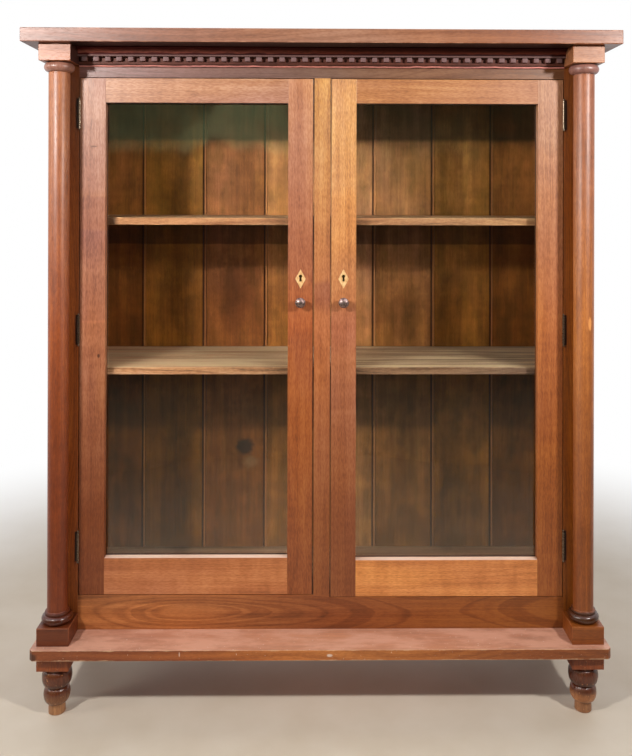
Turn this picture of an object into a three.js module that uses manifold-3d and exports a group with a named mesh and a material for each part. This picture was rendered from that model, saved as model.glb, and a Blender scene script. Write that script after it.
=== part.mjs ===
// Bookcase with two glass doors, columns, a dentil cornice and turned feet.
// Millimetres, +Z up, front towards -Y, +X to the right seen from the front.
// The origin is on the floor, in the middle of the whole object's plan.

import * as THREE from "three";
import { mergeVertices } from "three/addons/utils/BufferGeometryUtils.js";
import Module from "manifold-3d";

const wasm = await Module();
wasm.setup();

// Clearances
const fitGap = 0.3;
const cutOverrun = 2;
const joinOverlap = 0.5;

// How finely round pieces are divided
const turnedSides = 24;
const smallSides = 10;
const beadSteps = 6;
const domeSteps = 4;

// Overall sizes
const overallHeight = 1563.5;
const topBoardWidth = 1358.5;
const topBoardThick = 31.5;
const topOverhangFront = 20;
const caseWidth = 1272;
const caseDepth = 325;

// Blocks above and below the columns
const blockWidth = 73;
const blockDepth = 74;
const capitalBlockHeight = 39.5;
const plinthBlockHeight = 40.5;
const columnSpacing = 1215;

// Base board and feet
const baseBoardWidth = 1309;
const baseBoardThick = 23;
const baseOverhangFront = 18;
const baseCornerClip = 7;
const footHeight = 144;
const footBlockHeight = 34;
const footBlockWidth = 73;
const footPegRadius = 19;
const footPegHeight = 24;
const lowerBallRadius = 30;
const lowerBallHeight = 39.5;
const upperBallRadius = 33.7;
const upperBallHeight = 39.5;
const footWaistRadius = 25;
const footNeckRadius = 27;
const footSpigotLength = 12;

// Columns: one turning each, with a spigot in the block at either end
const shaftRadius = 22.8;
const capRingRadius = 34;
const capRingHeight = 22.5;
const baseRingRadius = 35;
const baseRingHeight = 20.5;
const baseLipRadius = 27.5;
const baseLipHeight = 5.5;
const spigotRadius = 12;
const spigotLength = 22;

// Face frame
const frameThick = 22;
const faceStileWidth = 64;
const mullionWidth = 39;
const baseRailHeight = 80.5;
const friezeRailHeight = 67.5;
const tenonThick = 8;
const frameTenonLength = 25;
const mullionTenonLength = 20;
const tenonShoulder = 8;

// Case
const sideThick = 20;
const backBoardThick = 14;
const backRebateWidth = 10;
const housingDepth = 6;
const bottomBoardThick = 18;
const bottomBoardTop = 231;
const shelfThick = 17;
const lowerShelfTop = 776.5;
const upperShelfTop = 1134;
const shelfSetback = 30;

// Back boards: places of the joints as shares of half the width inside
const backJointShares = [-0.79, -0.524, -0.253, -0.013, 0.2265, 0.487, 0.748];
const backJointGap = 1.2;
const backTongueThick = 4.5;
const backTongueLength = 7;
const backQuirkWidth = 1.8;
const backQuirkDepth = 3;
const backBeadWidth = 8;

// Cove moulding with its fillet
const coveHeight = 20;
const coveProjection = 37;
const coveTopLip = 2;
const filletHeight = 3.4;
const filletProjection = 19.5;
const coveFoot = 17.5;

// Dentil moulding: backing, dentils, strip and bead
const dentilBandHeight = 10.5;
const dentilWidth = 12;
const dentilDepth = 11;
const dentilCount = 42;
const dentilBacking = 3.5;
const dentilStripHeight = 7;
const dentilStripProjection = 6.2;
const dentilQuirkHeight = 2;
const dentilBeadHeight = 3.5;
const dentilBeadProjection = 5.2;

// Doors
const doorThick = 26;
const hingeGap = 2;
const doorGap = 1.5;
const doorStileWidth = 59.5;
const doorTopRailHeight = 58;
const doorBottomRailHeight = 86;
const rightDoorDrop = 6.5;
const doorTenonLength = 42;
const doorTenonSetback = 8;
const doorTenonShoulder = 10;
const glassThick = 2.5;
const glassSetback = 18;
const glassRebate = 8;

// Hinges
const hingeLength = 63.5;
const hingeKnuckles = 5;
const hingeBarrelRadius = 3;
const hingePinRadius = 1.3;
const hingeLeafThick = 1.4;
const hingeLeafDepth = 21;
const hingeLeafPart = 0.15;
const hingeProud = 3;
const hingeTipRadius = 2.7;
const hingeTipNeckRadius = 1.7;
const hingeTipNeckLength = 1.6;
const topHingeDrop = 83.5;
const bottomHingeRise = 113;

// Knobs
const knobHeight = 936.5;
const knobHeadRadius = 12.2;
const knobHeadDepth = 9;
const knobNeckRadius = 5;
const knobRoseRadius = 9;
const knobRoseThick = 2;
const knobProjection = 23;
const knobShankRadius = 3;
const knobShankLength = 20;
const knobFlare = 3.5;
const knobUnderRadius = 8.5;
const knobRim = 2.5;

// Escutcheons and locks
const escutcheonHeight = 991;
const escutcheonWide = 25;
const escutcheonTall = 45;
const escutcheonThick = 2.5;
const escutcheonProud = 0.3;
const keyholeRadius = 3.9;
const keyholeSlotWidth = 4.2;
const keyholeFootWidth = 5.6;
const keyholeTall = 16;
const keyholeRise = 6;
const lockWide = 46;
const lockTall = 60;
const lockDeep = 14;
const lockPocketRadius = 10;
const lockPocketDepth = 8;
const boltLength = 38;
const boltTall = 12;
const boltThick = 5;
const boltRise = 18;
const boltSetback = 6.5;
const boltNotchWidth = 9;
const boltNotchDepth = 4;
const boltMortiseDepth = 8.5;

// Levels, counted up from the floor
const zBaseTop = footHeight + baseBoardThick;
const zPlinthTop = zBaseTop + plinthBlockHeight;
const zTopUnder = overallHeight - topBoardThick;
const zCapitalUnder = zTopUnder - capitalBlockHeight;
const zFriezeUnder = zTopUnder - friezeRailHeight;
const zBaseRailTop = zBaseTop + baseRailHeight;
const zCoveUnder = zTopUnder - coveHeight;
const zDoorUnder = zBaseRailTop + doorGap;
const zDoorTop = zFriezeUnder - doorGap;
const zGlassUnder = zDoorUnder + doorBottomRailHeight;
const zGlassTop = zDoorTop - doorTopRailHeight;

// The right door reaches lower than the left one, over a step cut in the base rail
function doorDrop(side) {
  return side > 0 ? rightDoorDrop : 0;
}

// Planes, counted back from the front
const totalDepth = topOverhangFront + blockDepth + caseDepth;
const yRear = totalDepth / 2;
const yCase = yRear - caseDepth;
const yBlock = yCase - blockDepth;
const yTop = yBlock - topOverhangFront;
const yBase = yBlock - baseOverhangFront;
const yColumn = yCase - blockDepth / 2;
const yFrameBack = yCase + frameThick;
const yDoorBack = yCase + doorThick;
const yGlassSeat = yCase + glassSetback;
const yBackBoards = yRear - backBoardThick;
const yShelfFront = yCase + shelfSetback;

// Places across the width, on the right; the left is its mirror image
const xCase = caseWidth / 2;
const xSideInner = xCase - sideThick;
const xStileInner = xCase - faceStileWidth;
const xMullion = mullionWidth / 2;
const xColumn = columnSpacing / 2;
const xBlockInner = xColumn - blockWidth / 2;
const xBlockOuter = xColumn + blockWidth / 2;
const xHinge = xStileInner - hingeGap / 2;
const xDoorOuter = xStileInner - hingeGap;
const xDoorInner = xMullion + doorGap;
const xGlassOuter = xDoorOuter - doorStileWidth;
const xGlassInner = xDoorInner + doorStileWidth;
const xLockCentre = xDoorInner + doorStileWidth / 2;

// Finishes
function finish(color, roughness, metalness = 0) {
  return new THREE.MeshStandardMaterial({ color, roughness, metalness });
}

const caseWood = finish(0x7d4326, 0.45);
const doorWood = finish(0xa4622f, 0.45);
const turnedWood = finish(0x6f3a22, 0.35);
const darkWood = finish(0x4a2416, 0.5);
const shelfWood = finish(0xa77245, 0.6);
const backWood = finish(0x4b3a22, 0.7);
const windowGlass = finish(0xd5e0dc, 0.05);
const bone = finish(0xe3b988, 0.4);
const knobMetal = finish(0x4b3c38, 0.35, 1);
const hingeMetal = finish(0x8d827c, 0.35, 1);
const lockMetal = finish(0x8a7a55, 0.45, 1);

const bookcase = new THREE.Group();

// Making solids and putting them in the group

// A box between six planes, so that neighbours share exactly the same plane
function slab(x0, x1, y0, y1, z0, z1) {
  const geometry = new THREE.BoxGeometry(1, 1, 1);
  const place = geometry.getAttribute("position");
  const low = [Math.min(x0, x1), Math.min(y0, y1), Math.min(z0, z1)];
  const high = [Math.max(x0, x1), Math.max(y0, y1), Math.max(z0, z1)];
  for (let i = 0; i < place.count; i += 1) {
    place.setX(i, place.getX(i) < 0 ? low[0] : high[0]);
    place.setY(i, place.getY(i) < 0 ? low[1] : high[1]);
    place.setZ(i, place.getZ(i) < 0 ? low[2] : high[2]);
  }
  return geometry;
}

// A turning round a vertical axis, from a profile of [radius, height] that starts and ends on the axis
function turning(profile, segments, x, y) {
  const points = profile.map(([radius, height]) => new THREE.Vector2(radius, height));
  const geometry = new THREE.LatheGeometry(points, segments);
  geometry.rotateX(Math.PI / 2);
  geometry.translate(x, y, 0);
  return geometry;
}

// A turning whose axis points to the front, from a profile of [radius, distance in front of the face]
function frontTurning(profile, segments, x, yFace, z) {
  const geometry = turning(profile, segments, 0, 0);
  geometry.rotateX(Math.PI / 2);
  geometry.translate(x, yFace, z);
  return geometry;
}

// A bar along X with a section drawn as [distance in front of the case, height]
function sectionBar(section, x0, x1) {
  const geometry = new THREE.ExtrudeGeometry(section, { depth: 1, bevelEnabled: false, curveSegments: 8 });
  const place = geometry.getAttribute("position");
  for (let i = 0; i < place.count; i += 1) {
    const forward = place.getX(i);
    const height = place.getY(i);
    const along = place.getZ(i) < 1 / 2 ? x1 : x0;
    place.setXYZ(i, along, yCase - forward, height);
  }
  return geometry;
}

// A post along Z with a plan drawn in X and Y
function planPost(plan, z0, z1) {
  const geometry = new THREE.ExtrudeGeometry(plan, { depth: 1, bevelEnabled: false, curveSegments: 8 });
  const place = geometry.getAttribute("position");
  for (let i = 0; i < place.count; i += 1) {
    place.setZ(i, place.getZ(i) < 1 / 2 ? z0 : z1);
  }
  return geometry;
}

// A flat piece standing in X and Z, with its outline drawn as seen from the front
function frontPlate(outline, yFront, yBehind) {
  const geometry = new THREE.ExtrudeGeometry(outline, { depth: 1, bevelEnabled: false, curveSegments: 10 });
  const place = geometry.getAttribute("position");
  for (let i = 0; i < place.count; i += 1) {
    const across = place.getX(i);
    const height = place.getY(i);
    const y = place.getZ(i) < 1 / 2 ? yBehind : yFront;
    place.setXYZ(i, across, y, height);
  }
  return geometry;
}

function outlineOf(points) {
  return new THREE.Shape(points.map(([u, v]) => new THREE.Vector2(u, v)));
}

function solid(geometry) {
  const bare = geometry.clone();
  bare.deleteAttribute("normal");
  bare.deleteAttribute("uv");
  const merged = mergeVertices(bare);
  const vertProperties = new Float32Array(merged.getAttribute("position").array);
  const triVerts = new Uint32Array(merged.getIndex().array);
  return new wasm.Manifold(new wasm.Mesh({ numProp: 3, vertProperties, triVerts }));
}

function joined(...geometries) {
  return geometries.map(solid).reduce((whole, piece) => whole.add(piece));
}

function cut(whole, ...geometries) {
  return geometries.map(solid).reduce((rest, piece) => rest.subtract(piece), whole);
}

function surfaceOf(whole) {
  const mesh = whole.getMesh();
  const geometry = new THREE.BufferGeometry();
  geometry.setAttribute("position", new THREE.BufferAttribute(new Float32Array(mesh.vertProperties), 3));
  geometry.setIndex(new THREE.BufferAttribute(new Uint32Array(mesh.triVerts), 1));
  geometry.computeVertexNormals();
  return geometry;
}

function addPart(name, shape, material) {
  const geometry = shape.isBufferGeometry ? shape : surfaceOf(shape);
  const mesh = new THREE.Mesh(geometry, material);
  mesh.name = name;
  bookcase.add(mesh);
}

// Points of a rounded bead in a turned profile, from one height to another
function bead(baseRadius, fullRadius, zFrom, zTo) {
  const points = [];
  const middle = (zFrom + zTo) / 2;
  const reach = (zTo - zFrom) / 2;
  for (let i = 0; i <= beadSteps; i += 1) {
    const angle = (Math.PI * i) / beadSteps;
    const radius = baseRadius + (fullRadius - baseRadius) * Math.sin(angle);
    points.push([radius, middle - reach * Math.cos(angle)]);
  }
  return points;
}

// A cylinder along Z as a turned profile
function rod(radius, z0, z1) {
  return [[0, z0], [radius, z0], [radius, z1], [0, z1]];
}

// The two sides of the bookcase: -1 is left, 1 is right
const sides = [["left", -1], ["right", 1]];

// Top board
const topBoard = slab(-topBoardWidth / 2, topBoardWidth / 2, yTop, yRear, zTopUnder, overallHeight);
addPart("top_board", topBoard, caseWood);

// Cove moulding: a fillet, a small step and a hollow that runs out to a narrow lip
function coveSection() {
  const zHollow = zCoveUnder + filletHeight;
  const zLip = zTopUnder - coveTopLip;
  const section = new THREE.Shape();
  section.moveTo(0, zCoveUnder);
  section.lineTo(filletProjection, zCoveUnder);
  section.lineTo(filletProjection, zHollow);
  section.lineTo(coveFoot, zHollow);
  section.absellipse(coveProjection, zHollow, coveProjection - coveFoot, zLip - zHollow,
    Math.PI, Math.PI / 2, true);
  section.lineTo(coveProjection, zTopUnder);
  section.lineTo(0, zTopUnder);
  return section;
}

addPart("cove_moulding", sectionBar(coveSection(), -xBlockInner, xBlockInner), darkWood);

// Dentil moulding: bead, quirk, strip and backing in one section, then the row of dentils
const dentilMouldingHeight = dentilBeadHeight + dentilQuirkHeight + dentilStripHeight + dentilBandHeight;
const zDentilUnder = zCoveUnder - dentilMouldingHeight;

function dentilSection() {
  const zBead = zDentilUnder + dentilBeadHeight;
  const zQuirk = zBead + dentilQuirkHeight;
  const zStrip = zQuirk + dentilStripHeight;
  const section = new THREE.Shape();
  section.moveTo(0, zDentilUnder);
  section.lineTo(dentilBacking, zDentilUnder);
  section.absellipse(dentilBacking, (zDentilUnder + zBead) / 2, dentilBeadProjection - dentilBacking,
    dentilBeadHeight / 2, -Math.PI / 2, Math.PI / 2, false);
  section.lineTo(dentilBacking, zQuirk);
  section.lineTo(dentilStripProjection, zQuirk);
  section.lineTo(dentilStripProjection, zStrip);
  section.lineTo(dentilBacking, zStrip);
  section.lineTo(dentilBacking, zCoveUnder);
  section.lineTo(0, zCoveUnder);
  return section;
}

function dentilMoulding() {
  const dentils = [];
  const pitch = (2 * xBlockInner) / dentilCount;
  const yDentil = yCase - dentilBacking - dentilDepth;
  for (let i = 0; i < dentilCount; i += 1) {
    const x = -xBlockInner + pitch * (i + 1 / 2);
    dentils.push(slab(x - dentilWidth / 2, x + dentilWidth / 2, yDentil, yCase - dentilBacking / 2,
      zCoveUnder - dentilBandHeight, zCoveUnder));
  }
  return joined(sectionBar(dentilSection(), -xBlockInner, xBlockInner), ...dentils);
}

addPart("dentil_moulding", dentilMoulding(), darkWood);

// Face frame: rails tenoned into the stiles, and the mullion tenoned into the rails
const yTenon = yCase + (frameThick - tenonThick) / 2;
const yTenonBack = yTenon + tenonThick;

function frameRail(zUnder, zTop) {
  const body = joined(
    slab(-xStileInner, xStileInner, yCase, yFrameBack, zUnder, zTop),
    slab(-xStileInner - frameTenonLength, xStileInner + frameTenonLength, yTenon, yTenonBack,
      zUnder + tenonShoulder, zTop - tenonShoulder),
  );
  return body;
}

function mullionMortise(zFrom, zTo) {
  const half = xMullion - tenonShoulder + fitGap;
  return slab(-half, half, yTenon - fitGap, yTenonBack + fitGap, zFrom, zTo);
}

const friezeMortise = mullionMortise(zFriezeUnder - cutOverrun, zFriezeUnder + mullionTenonLength + fitGap);
const baseMortise = mullionMortise(zBaseRailTop - mullionTenonLength - fitGap, zBaseRailTop + cutOverrun);
addPart("frieze_rail", cut(frameRail(zFriezeUnder, zTopUnder), friezeMortise), caseWood);
const baseStep = slab(xMullion, xStileInner, yCase - cutOverrun, yFrameBack + cutOverrun,
  zBaseRailTop - rightDoorDrop, zBaseRailTop + cutOverrun);
addPart("base_rail", cut(frameRail(zBaseTop, zBaseRailTop), baseMortise, baseStep), caseWood);

// The places of the bolts, shared by the mullion and the locks
const zBolt = escutcheonHeight + boltRise;
const yBolt = yDoorBack - boltSetback - boltThick;

function centreMullion() {
  const post = joined(
    slab(-xMullion, xMullion, yCase, yFrameBack, zBaseRailTop, zFriezeUnder),
    slab(-xMullion + tenonShoulder, xMullion - tenonShoulder, yTenon, yTenonBack,
      zBaseRailTop - mullionTenonLength, zFriezeUnder + mullionTenonLength),
  );
  const mortises = sides.map(([, side]) => slab(
    side * (xMullion - boltMortiseDepth), side * (xMullion + cutOverrun),
    yBolt - fitGap, yBolt + boltThick + fitGap,
    zBolt - boltTall / 2 - fitGap, zBolt + boltTall / 2 + fitGap,
  ));
  return cut(post, ...mortises);
}

addPart("centre_mullion", centreMullion(), doorWood);

// Hinge heights and the mortises that the leaves lie in
const zHinges = [
  ["bottom", zDoorUnder + bottomHingeRise],
  ["middle", (zDoorUnder + bottomHingeRise + zDoorTop - topHingeDrop) / 2],
  ["top", zDoorTop - topHingeDrop],
];
const yHinge = yCase - hingeProud;
const leafMortiseDepth = hingeLeafPart + hingeLeafThick + fitGap - hingeGap / 2;

// towards is the side of the hinge line on which the wood lies, as a sign along X
function leafMortise(side, towards, zHinge) {
  const edge = side * xHinge + towards * (hingeGap / 2);
  return slab(edge - towards * cutOverrun, edge + towards * leafMortiseDepth, yCase - cutOverrun,
    yHinge + hingeLeafDepth + fitGap, zHinge - hingeLength / 2 - fitGap, zHinge + hingeLength / 2 + fitGap);
}

function faceStile(side) {
  const post = solid(slab(side * xStileInner, side * xCase, yCase, yFrameBack, zBaseTop, zTopUnder));
  const reach = side * (xStileInner + frameTenonLength + fitGap);
  const mouth = side * (xStileInner - cutOverrun);
  const rails = [[zBaseTop, zBaseRailTop], [zFriezeUnder, zTopUnder]];
  const mortises = rails.map(([zUnder, zTop]) => slab(mouth, reach, yTenon - fitGap, yTenonBack + fitGap,
    zUnder + tenonShoulder - fitGap, zTop - tenonShoulder + fitGap));
  const hinges = zHinges.map(([, zHinge]) => leafMortise(side, side, zHinge));
  return cut(post, ...mortises, ...hinges);
}

for (const [label, side] of sides) {
  addPart(`${label}_face_stile`, faceStile(side), caseWood);
}

// Side panels with housings for the bottom board and the shelves, and a rebate for the back boards
const boardLevels = [
  [bottomBoardTop, bottomBoardThick, yFrameBack],
  [lowerShelfTop, shelfThick, yShelfFront],
  [upperShelfTop, shelfThick, yShelfFront],
];

function sidePanel(side) {
  const panel = solid(slab(side * xSideInner, side * xCase, yFrameBack, yRear, zBaseTop, zTopUnder));
  const housings = boardLevels.map(([zTop, thick, yFront]) => slab(
    side * (xSideInner - cutOverrun), side * (xSideInner + housingDepth),
    yFront - fitGap, yRear + cutOverrun, zTop - thick - fitGap, zTop + fitGap,
  ));
  const rebate = slab(side * (xSideInner - cutOverrun), side * (xSideInner + backRebateWidth), yBackBoards,
    yRear + cutOverrun, zBaseTop - cutOverrun, zTopUnder + cutOverrun);
  return cut(panel, ...housings, rebate);
}

for (const [label, side] of sides) {
  addPart(`${label}_side_panel`, sidePanel(side), caseWood);
}

function housedBoard([zTop, thick, yFront]) {
  const half = xSideInner + housingDepth - fitGap;
  return slab(-half, half, yFront, yBackBoards - fitGap, zTop - thick, zTop);
}

addPart("bottom_board", housedBoard(boardLevels[0]), shelfWood);
addPart("lower_shelf", housedBoard(boardLevels[1]), shelfWood);
addPart("upper_shelf", housedBoard(boardLevels[2]), shelfWood);

// Back boards, joined in pairs: a bead lies beside each joint, and the pairs meet tongue in groove
const yTongue = yBackBoards + (backBoardThick - backTongueThick) / 2;
const xBackEdge = xSideInner + backRebateWidth - fitGap;
const xBackJoints = backJointShares.map((share) => share * xSideInner);

// A quirk is a narrow groove in the front of a board, drawn from left to right
function quirk(x) {
  const half = backQuirkWidth / 2;
  return [[x - half, yBackBoards], [x, yBackBoards + backQuirkDepth], [x + half, yBackBoards]];
}

function backPair(xLeft, xInside, xRight, hasGroove, hasTongue) {
  const start = hasGroove ? xLeft + backJointGap / 2 : xLeft;
  const end = hasTongue ? xRight - backJointGap / 2 : xRight;
  const points = [[start, yBackBoards]];
  if (hasGroove) {
    points.push(...quirk(start + backBeadWidth));
  }
  points.push(...quirk(xInside), ...quirk(xInside + backBeadWidth), [end, yBackBoards]);
  if (hasTongue) {
    points.push([end, yTongue], [end + backTongueLength, yTongue],
      [end + backTongueLength, yTongue + backTongueThick], [end, yTongue + backTongueThick]);
  }
  points.push([end, yRear], [start, yRear]);
  if (hasGroove) {
    const floor = start + backTongueLength;
    points.push([start, yTongue + backTongueThick + fitGap], [floor, yTongue + backTongueThick + fitGap],
      [floor, yTongue - fitGap], [start, yTongue - fitGap]);
  }
  return planPost(outlineOf(points), zBaseTop, zTopUnder);
}

const pairCount = (xBackJoints.length + 1) / 2;
for (let i = 0; i < pairCount; i += 1) {
  const isFirst = i === 0;
  const isLast = i === pairCount - 1;
  const xLeft = isFirst ? -xBackEdge : xBackJoints[2 * i - 1];
  const xRight = isLast ? xBackEdge : xBackJoints[2 * i + 1];
  addPart(`back_boards_${i + 1}`, backPair(xLeft, xBackJoints[2 * i], xRight, !isFirst, !isLast), backWood);
}

// Base board with clipped front corners and a blind hole over each foot
const yFeet = [["front", yColumn], ["rear", -yColumn]];

function baseBoard() {
  const half = baseBoardWidth / 2;
  const plan = outlineOf([
    [-half, yRear], [-half, yBase + baseCornerClip], [-half + baseCornerClip, yBase],
    [half - baseCornerClip, yBase], [half, yBase + baseCornerClip], [half, yRear],
  ]);
  const holes = [];
  for (const [, side] of sides) {
    for (const [, yFoot] of yFeet) {
      const zHoleTop = footHeight + footSpigotLength + fitGap;
      const hole = rod(spigotRadius + fitGap, footHeight - cutOverrun, zHoleTop);
      holes.push(turning(hole, turnedSides, side * xColumn, yFoot));
    }
  }
  return cut(solid(planPost(plan, footHeight, zBaseTop)), ...holes);
}

addPart("base_board", baseBoard(), caseWood);

// Feet: a peg, two flattened balls and a square block, turned in one piece, with a spigot on top
function foot(x, y) {
  const zLower = footPegHeight + lowerBallHeight;
  const zUpper = zLower + upperBallHeight;
  const zBlock = footHeight - footBlockHeight;
  const profile = [
    [0, 0], [footPegRadius, 0],
    ...bead(footPegRadius, lowerBallRadius, footPegHeight, zLower),
    ...bead(footWaistRadius, upperBallRadius, zLower, zUpper),
    [footNeckRadius, zUpper], [footNeckRadius, zBlock + joinOverlap], [0, zBlock + joinOverlap],
  ];
  const half = footBlockWidth / 2;
  return joined(
    turning(profile, turnedSides, x, y),
    slab(x - half, x + half, y - half, y + half, zBlock, footHeight),
    turning(rod(spigotRadius, footHeight - joinOverlap, footHeight + footSpigotLength), turnedSides, x, y),
  );
}

for (const [label, side] of sides) {
  for (const [place, yFoot] of yFeet) {
    addPart(`${place}_${label}_foot`, foot(side * xColumn, yFoot), turnedWood);
  }
}

// Blocks above and below the columns, bored for the spigots
function columnBlock(side, z0, z1, zHoleFrom, zHoleTo) {
  const block = solid(slab(side * xBlockInner, side * xBlockOuter, yBlock, yCase, z0, z1));
  const hole = rod(spigotRadius + fitGap, zHoleFrom, zHoleTo);
  return cut(block, turning(hole, turnedSides, side * xColumn, yColumn));
}

// Columns: base ring, lip, shaft and cap ring
function column(x) {
  const zRingTop = zPlinthTop + baseRingHeight;
  const zLipTop = zRingTop + baseLipHeight;
  const zCapRing = zCapitalUnder - capRingHeight;
  const ringCore = baseRingRadius - baseRingHeight / 2;
  const capCore = capRingRadius - capRingHeight / 2;
  const profile = [
    [0, zPlinthTop - spigotLength], [spigotRadius, zPlinthTop - spigotLength], [spigotRadius, zPlinthTop],
    ...bead(ringCore, baseRingRadius, zPlinthTop, zRingTop),
    [baseLipRadius, zRingTop], [baseLipRadius, zLipTop], [shaftRadius, zLipTop], [shaftRadius, zCapRing],
    ...bead(capCore, capRingRadius, zCapRing, zCapitalUnder),
    [spigotRadius, zCapitalUnder], [spigotRadius, zCapitalUnder + spigotLength],
    [0, zCapitalUnder + spigotLength],
  ];
  return turning(profile, turnedSides, x, yColumn);
}

for (const [label, side] of sides) {
  const reach = spigotLength + fitGap;
  addPart(`${label}_capital_block`, columnBlock(side, zCapitalUnder, zTopUnder, zCapitalUnder - cutOverrun,
    zCapitalUnder + reach), caseWood);
  addPart(`${label}_column`, column(side * xColumn), turnedWood);
  addPart(`${label}_plinth_block`, columnBlock(side, zBaseTop, zPlinthTop, zPlinthTop - reach,
    zPlinthTop + cutOverrun), caseWood);
}

// Door frames: the rebate for the glass is the same cut in all four pieces
function glassRebateCut(side) {
  return slab(side * (xGlassInner - glassRebate), side * (xGlassOuter + glassRebate), yGlassSeat,
    yDoorBack + cutOverrun, zGlassUnder - doorDrop(side) - glassRebate, zGlassTop + glassRebate);
}

const yDoorTenon = yCase + doorTenonSetback;
const yDoorTenonBack = yDoorTenon + tenonThick;

function doorRails(side) {
  return [
    ["bottom", zDoorUnder - doorDrop(side), zGlassUnder - doorDrop(side)],
    ["top", zGlassTop, zDoorTop],
  ];
}

function doorRail(side, zUnder, zTop) {
  const rail = joined(
    slab(side * xGlassInner, side * xGlassOuter, yCase, yDoorBack, zUnder, zTop),
    slab(side * (xGlassInner - doorTenonLength), side * (xGlassOuter + doorTenonLength),
      yDoorTenon, yDoorTenonBack, zUnder + doorTenonShoulder, zTop - doorTenonShoulder),
  );
  return cut(rail, glassRebateCut(side));
}

// railSide is 1 where the rails lie towards the middle of the bookcase and -1 where they lie away from it
function doorStile(side, xFrom, xTo, xShoulder, railSide) {
  const zUnderDoor = zDoorUnder - doorDrop(side);
  const stile = solid(slab(side * xFrom, side * xTo, yCase, yDoorBack, zUnderDoor, zDoorTop));
  const mouth = side * (xShoulder - railSide * cutOverrun);
  const reach = side * (xShoulder + railSide * (doorTenonLength + fitGap));
  const mortises = doorRails(side).map(([, zUnder, zTop]) => slab(mouth, reach, yDoorTenon - fitGap,
    yDoorTenonBack + fitGap, zUnder + doorTenonShoulder - fitGap, zTop - doorTenonShoulder + fitGap));
  return cut(stile, ...mortises, glassRebateCut(side));
}

function hingeStile(side) {
  const stile = doorStile(side, xGlassOuter, xDoorOuter, xGlassOuter, 1);
  return cut(stile, ...zHinges.map(([, zHinge]) => leafMortise(side, -side, zHinge)));
}

// Keyhole outline: a round top over a slot that widens to its foot
function keyhole(x, grow) {
  const radius = keyholeRadius + grow;
  const slot = keyholeSlotWidth / 2 + grow;
  const footHalf = keyholeFootWidth / 2 + grow;
  const zRound = escutcheonHeight + keyholeRise;
  const zFoot = zRound + keyholeRadius - keyholeTall - grow;
  const meet = Math.asin(slot / radius);
  const outline = new THREE.Shape();
  outline.moveTo(x - footHalf, zFoot);
  outline.lineTo(x + footHalf, zFoot);
  outline.absarc(x, zRound, radius, meet - Math.PI / 2, (3 * Math.PI) / 2 - meet, false);
  return outline;
}

function diamond(x, grow) {
  const wide = escutcheonWide / 2 + grow;
  const tall = escutcheonTall / 2 + grow;
  return outlineOf([
    [x - wide, escutcheonHeight], [x, escutcheonHeight - tall],
    [x + wide, escutcheonHeight], [x, escutcheonHeight + tall],
  ]);
}

const yEscutcheonBack = yCase + escutcheonThick;
const yLockFront = yDoorBack - lockDeep;

function lockStile(side) {
  const xCentre = side * xLockCentre;
  const stile = doorStile(side, xDoorInner, xGlassInner, xGlassInner, -1);
  const shankHole = rod(knobShankRadius + fitGap, -knobShankLength - fitGap, cutOverrun);
  return cut(
    stile,
    frontPlate(diamond(xCentre, fitGap), yCase - cutOverrun, yEscutcheonBack + fitGap),
    frontPlate(keyhole(xCentre, fitGap), yCase - cutOverrun, yDoorBack),
    slab(side * (xDoorInner - cutOverrun), side * (xDoorInner + lockWide + fitGap),
      yLockFront - fitGap, yDoorBack + cutOverrun,
      escutcheonHeight - lockTall / 2 - fitGap, escutcheonHeight + lockTall / 2 + fitGap),
    frontTurning(shankHole, smallSides, xCentre, yCase, knobHeight),
  );
}

function escutcheon(side) {
  const xCentre = side * xLockCentre;
  const plate = solid(frontPlate(diamond(xCentre, 0), yCase - escutcheonProud, yEscutcheonBack));
  return cut(plate, frontPlate(keyhole(xCentre, 0), yCase - cutOverrun, yEscutcheonBack + cutOverrun));
}

// Lock case: let into the back of the lock stile, with a channel for the bolt and a pocket for the key
function lockCase(side) {
  const xCentre = side * xLockCentre;
  const zKey = escutcheonHeight + keyholeRise;
  const body = solid(slab(side * xDoorInner, side * (xDoorInner + lockWide), yLockFront, yDoorBack,
    escutcheonHeight - lockTall / 2, escutcheonHeight + lockTall / 2));
  const channel = slab(
    side * (xDoorInner - cutOverrun), side * (xDoorInner + boltLength + fitGap),
    yBolt - fitGap, yBolt + boltThick + fitGap,
    zBolt - boltTall / 2 - fitGap, zBolt + boltTall / 2 + fitGap,
  );
  const pocket = frontTurning(rod(lockPocketRadius, -lockPocketDepth, cutOverrun), smallSides, xCentre,
    yLockFront, zKey);
  return cut(body, channel, pocket);
}

function lockBolt(side) {
  const zUnder = zBolt - boltTall / 2;
  const bar = solid(slab(
    side * xDoorInner, side * (xDoorInner + boltLength), yBolt, yBolt + boltThick, zUnder, zUnder + boltTall,
  ));
  const notch = slab(side * (xLockCentre - boltNotchWidth / 2), side * (xLockCentre + boltNotchWidth / 2),
    yBolt - cutOverrun, yBolt + boltThick + cutOverrun, zUnder - cutOverrun, zUnder + boltNotchDepth);
  return cut(bar, notch);
}

// Knob: a rose against the door, a hollow neck and a mushroom head, with a shank in the stile
function knob(side) {
  const zHead = knobProjection - knobHeadDepth;
  const zDome = zHead + knobRim;
  const profile = [
    [0, -knobShankLength], [knobShankRadius, -knobShankLength], [knobShankRadius, fitGap],
    [knobRoseRadius, fitGap], [knobRoseRadius, knobRoseThick], [knobNeckRadius, knobRoseThick + knobFlare],
    [knobNeckRadius, zHead - knobFlare], [knobUnderRadius, zHead], [knobHeadRadius, zDome],
  ];
  for (let i = 1; i < domeSteps; i += 1) {
    const angle = (Math.PI / 2) * (i / domeSteps);
    profile.push([knobHeadRadius * Math.cos(angle), zDome + (knobProjection - zDome) * Math.sin(angle)]);
  }
  profile.push([0, knobProjection]);
  return frontTurning(profile, turnedSides, side * xLockCentre, yCase, knobHeight);
}

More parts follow.
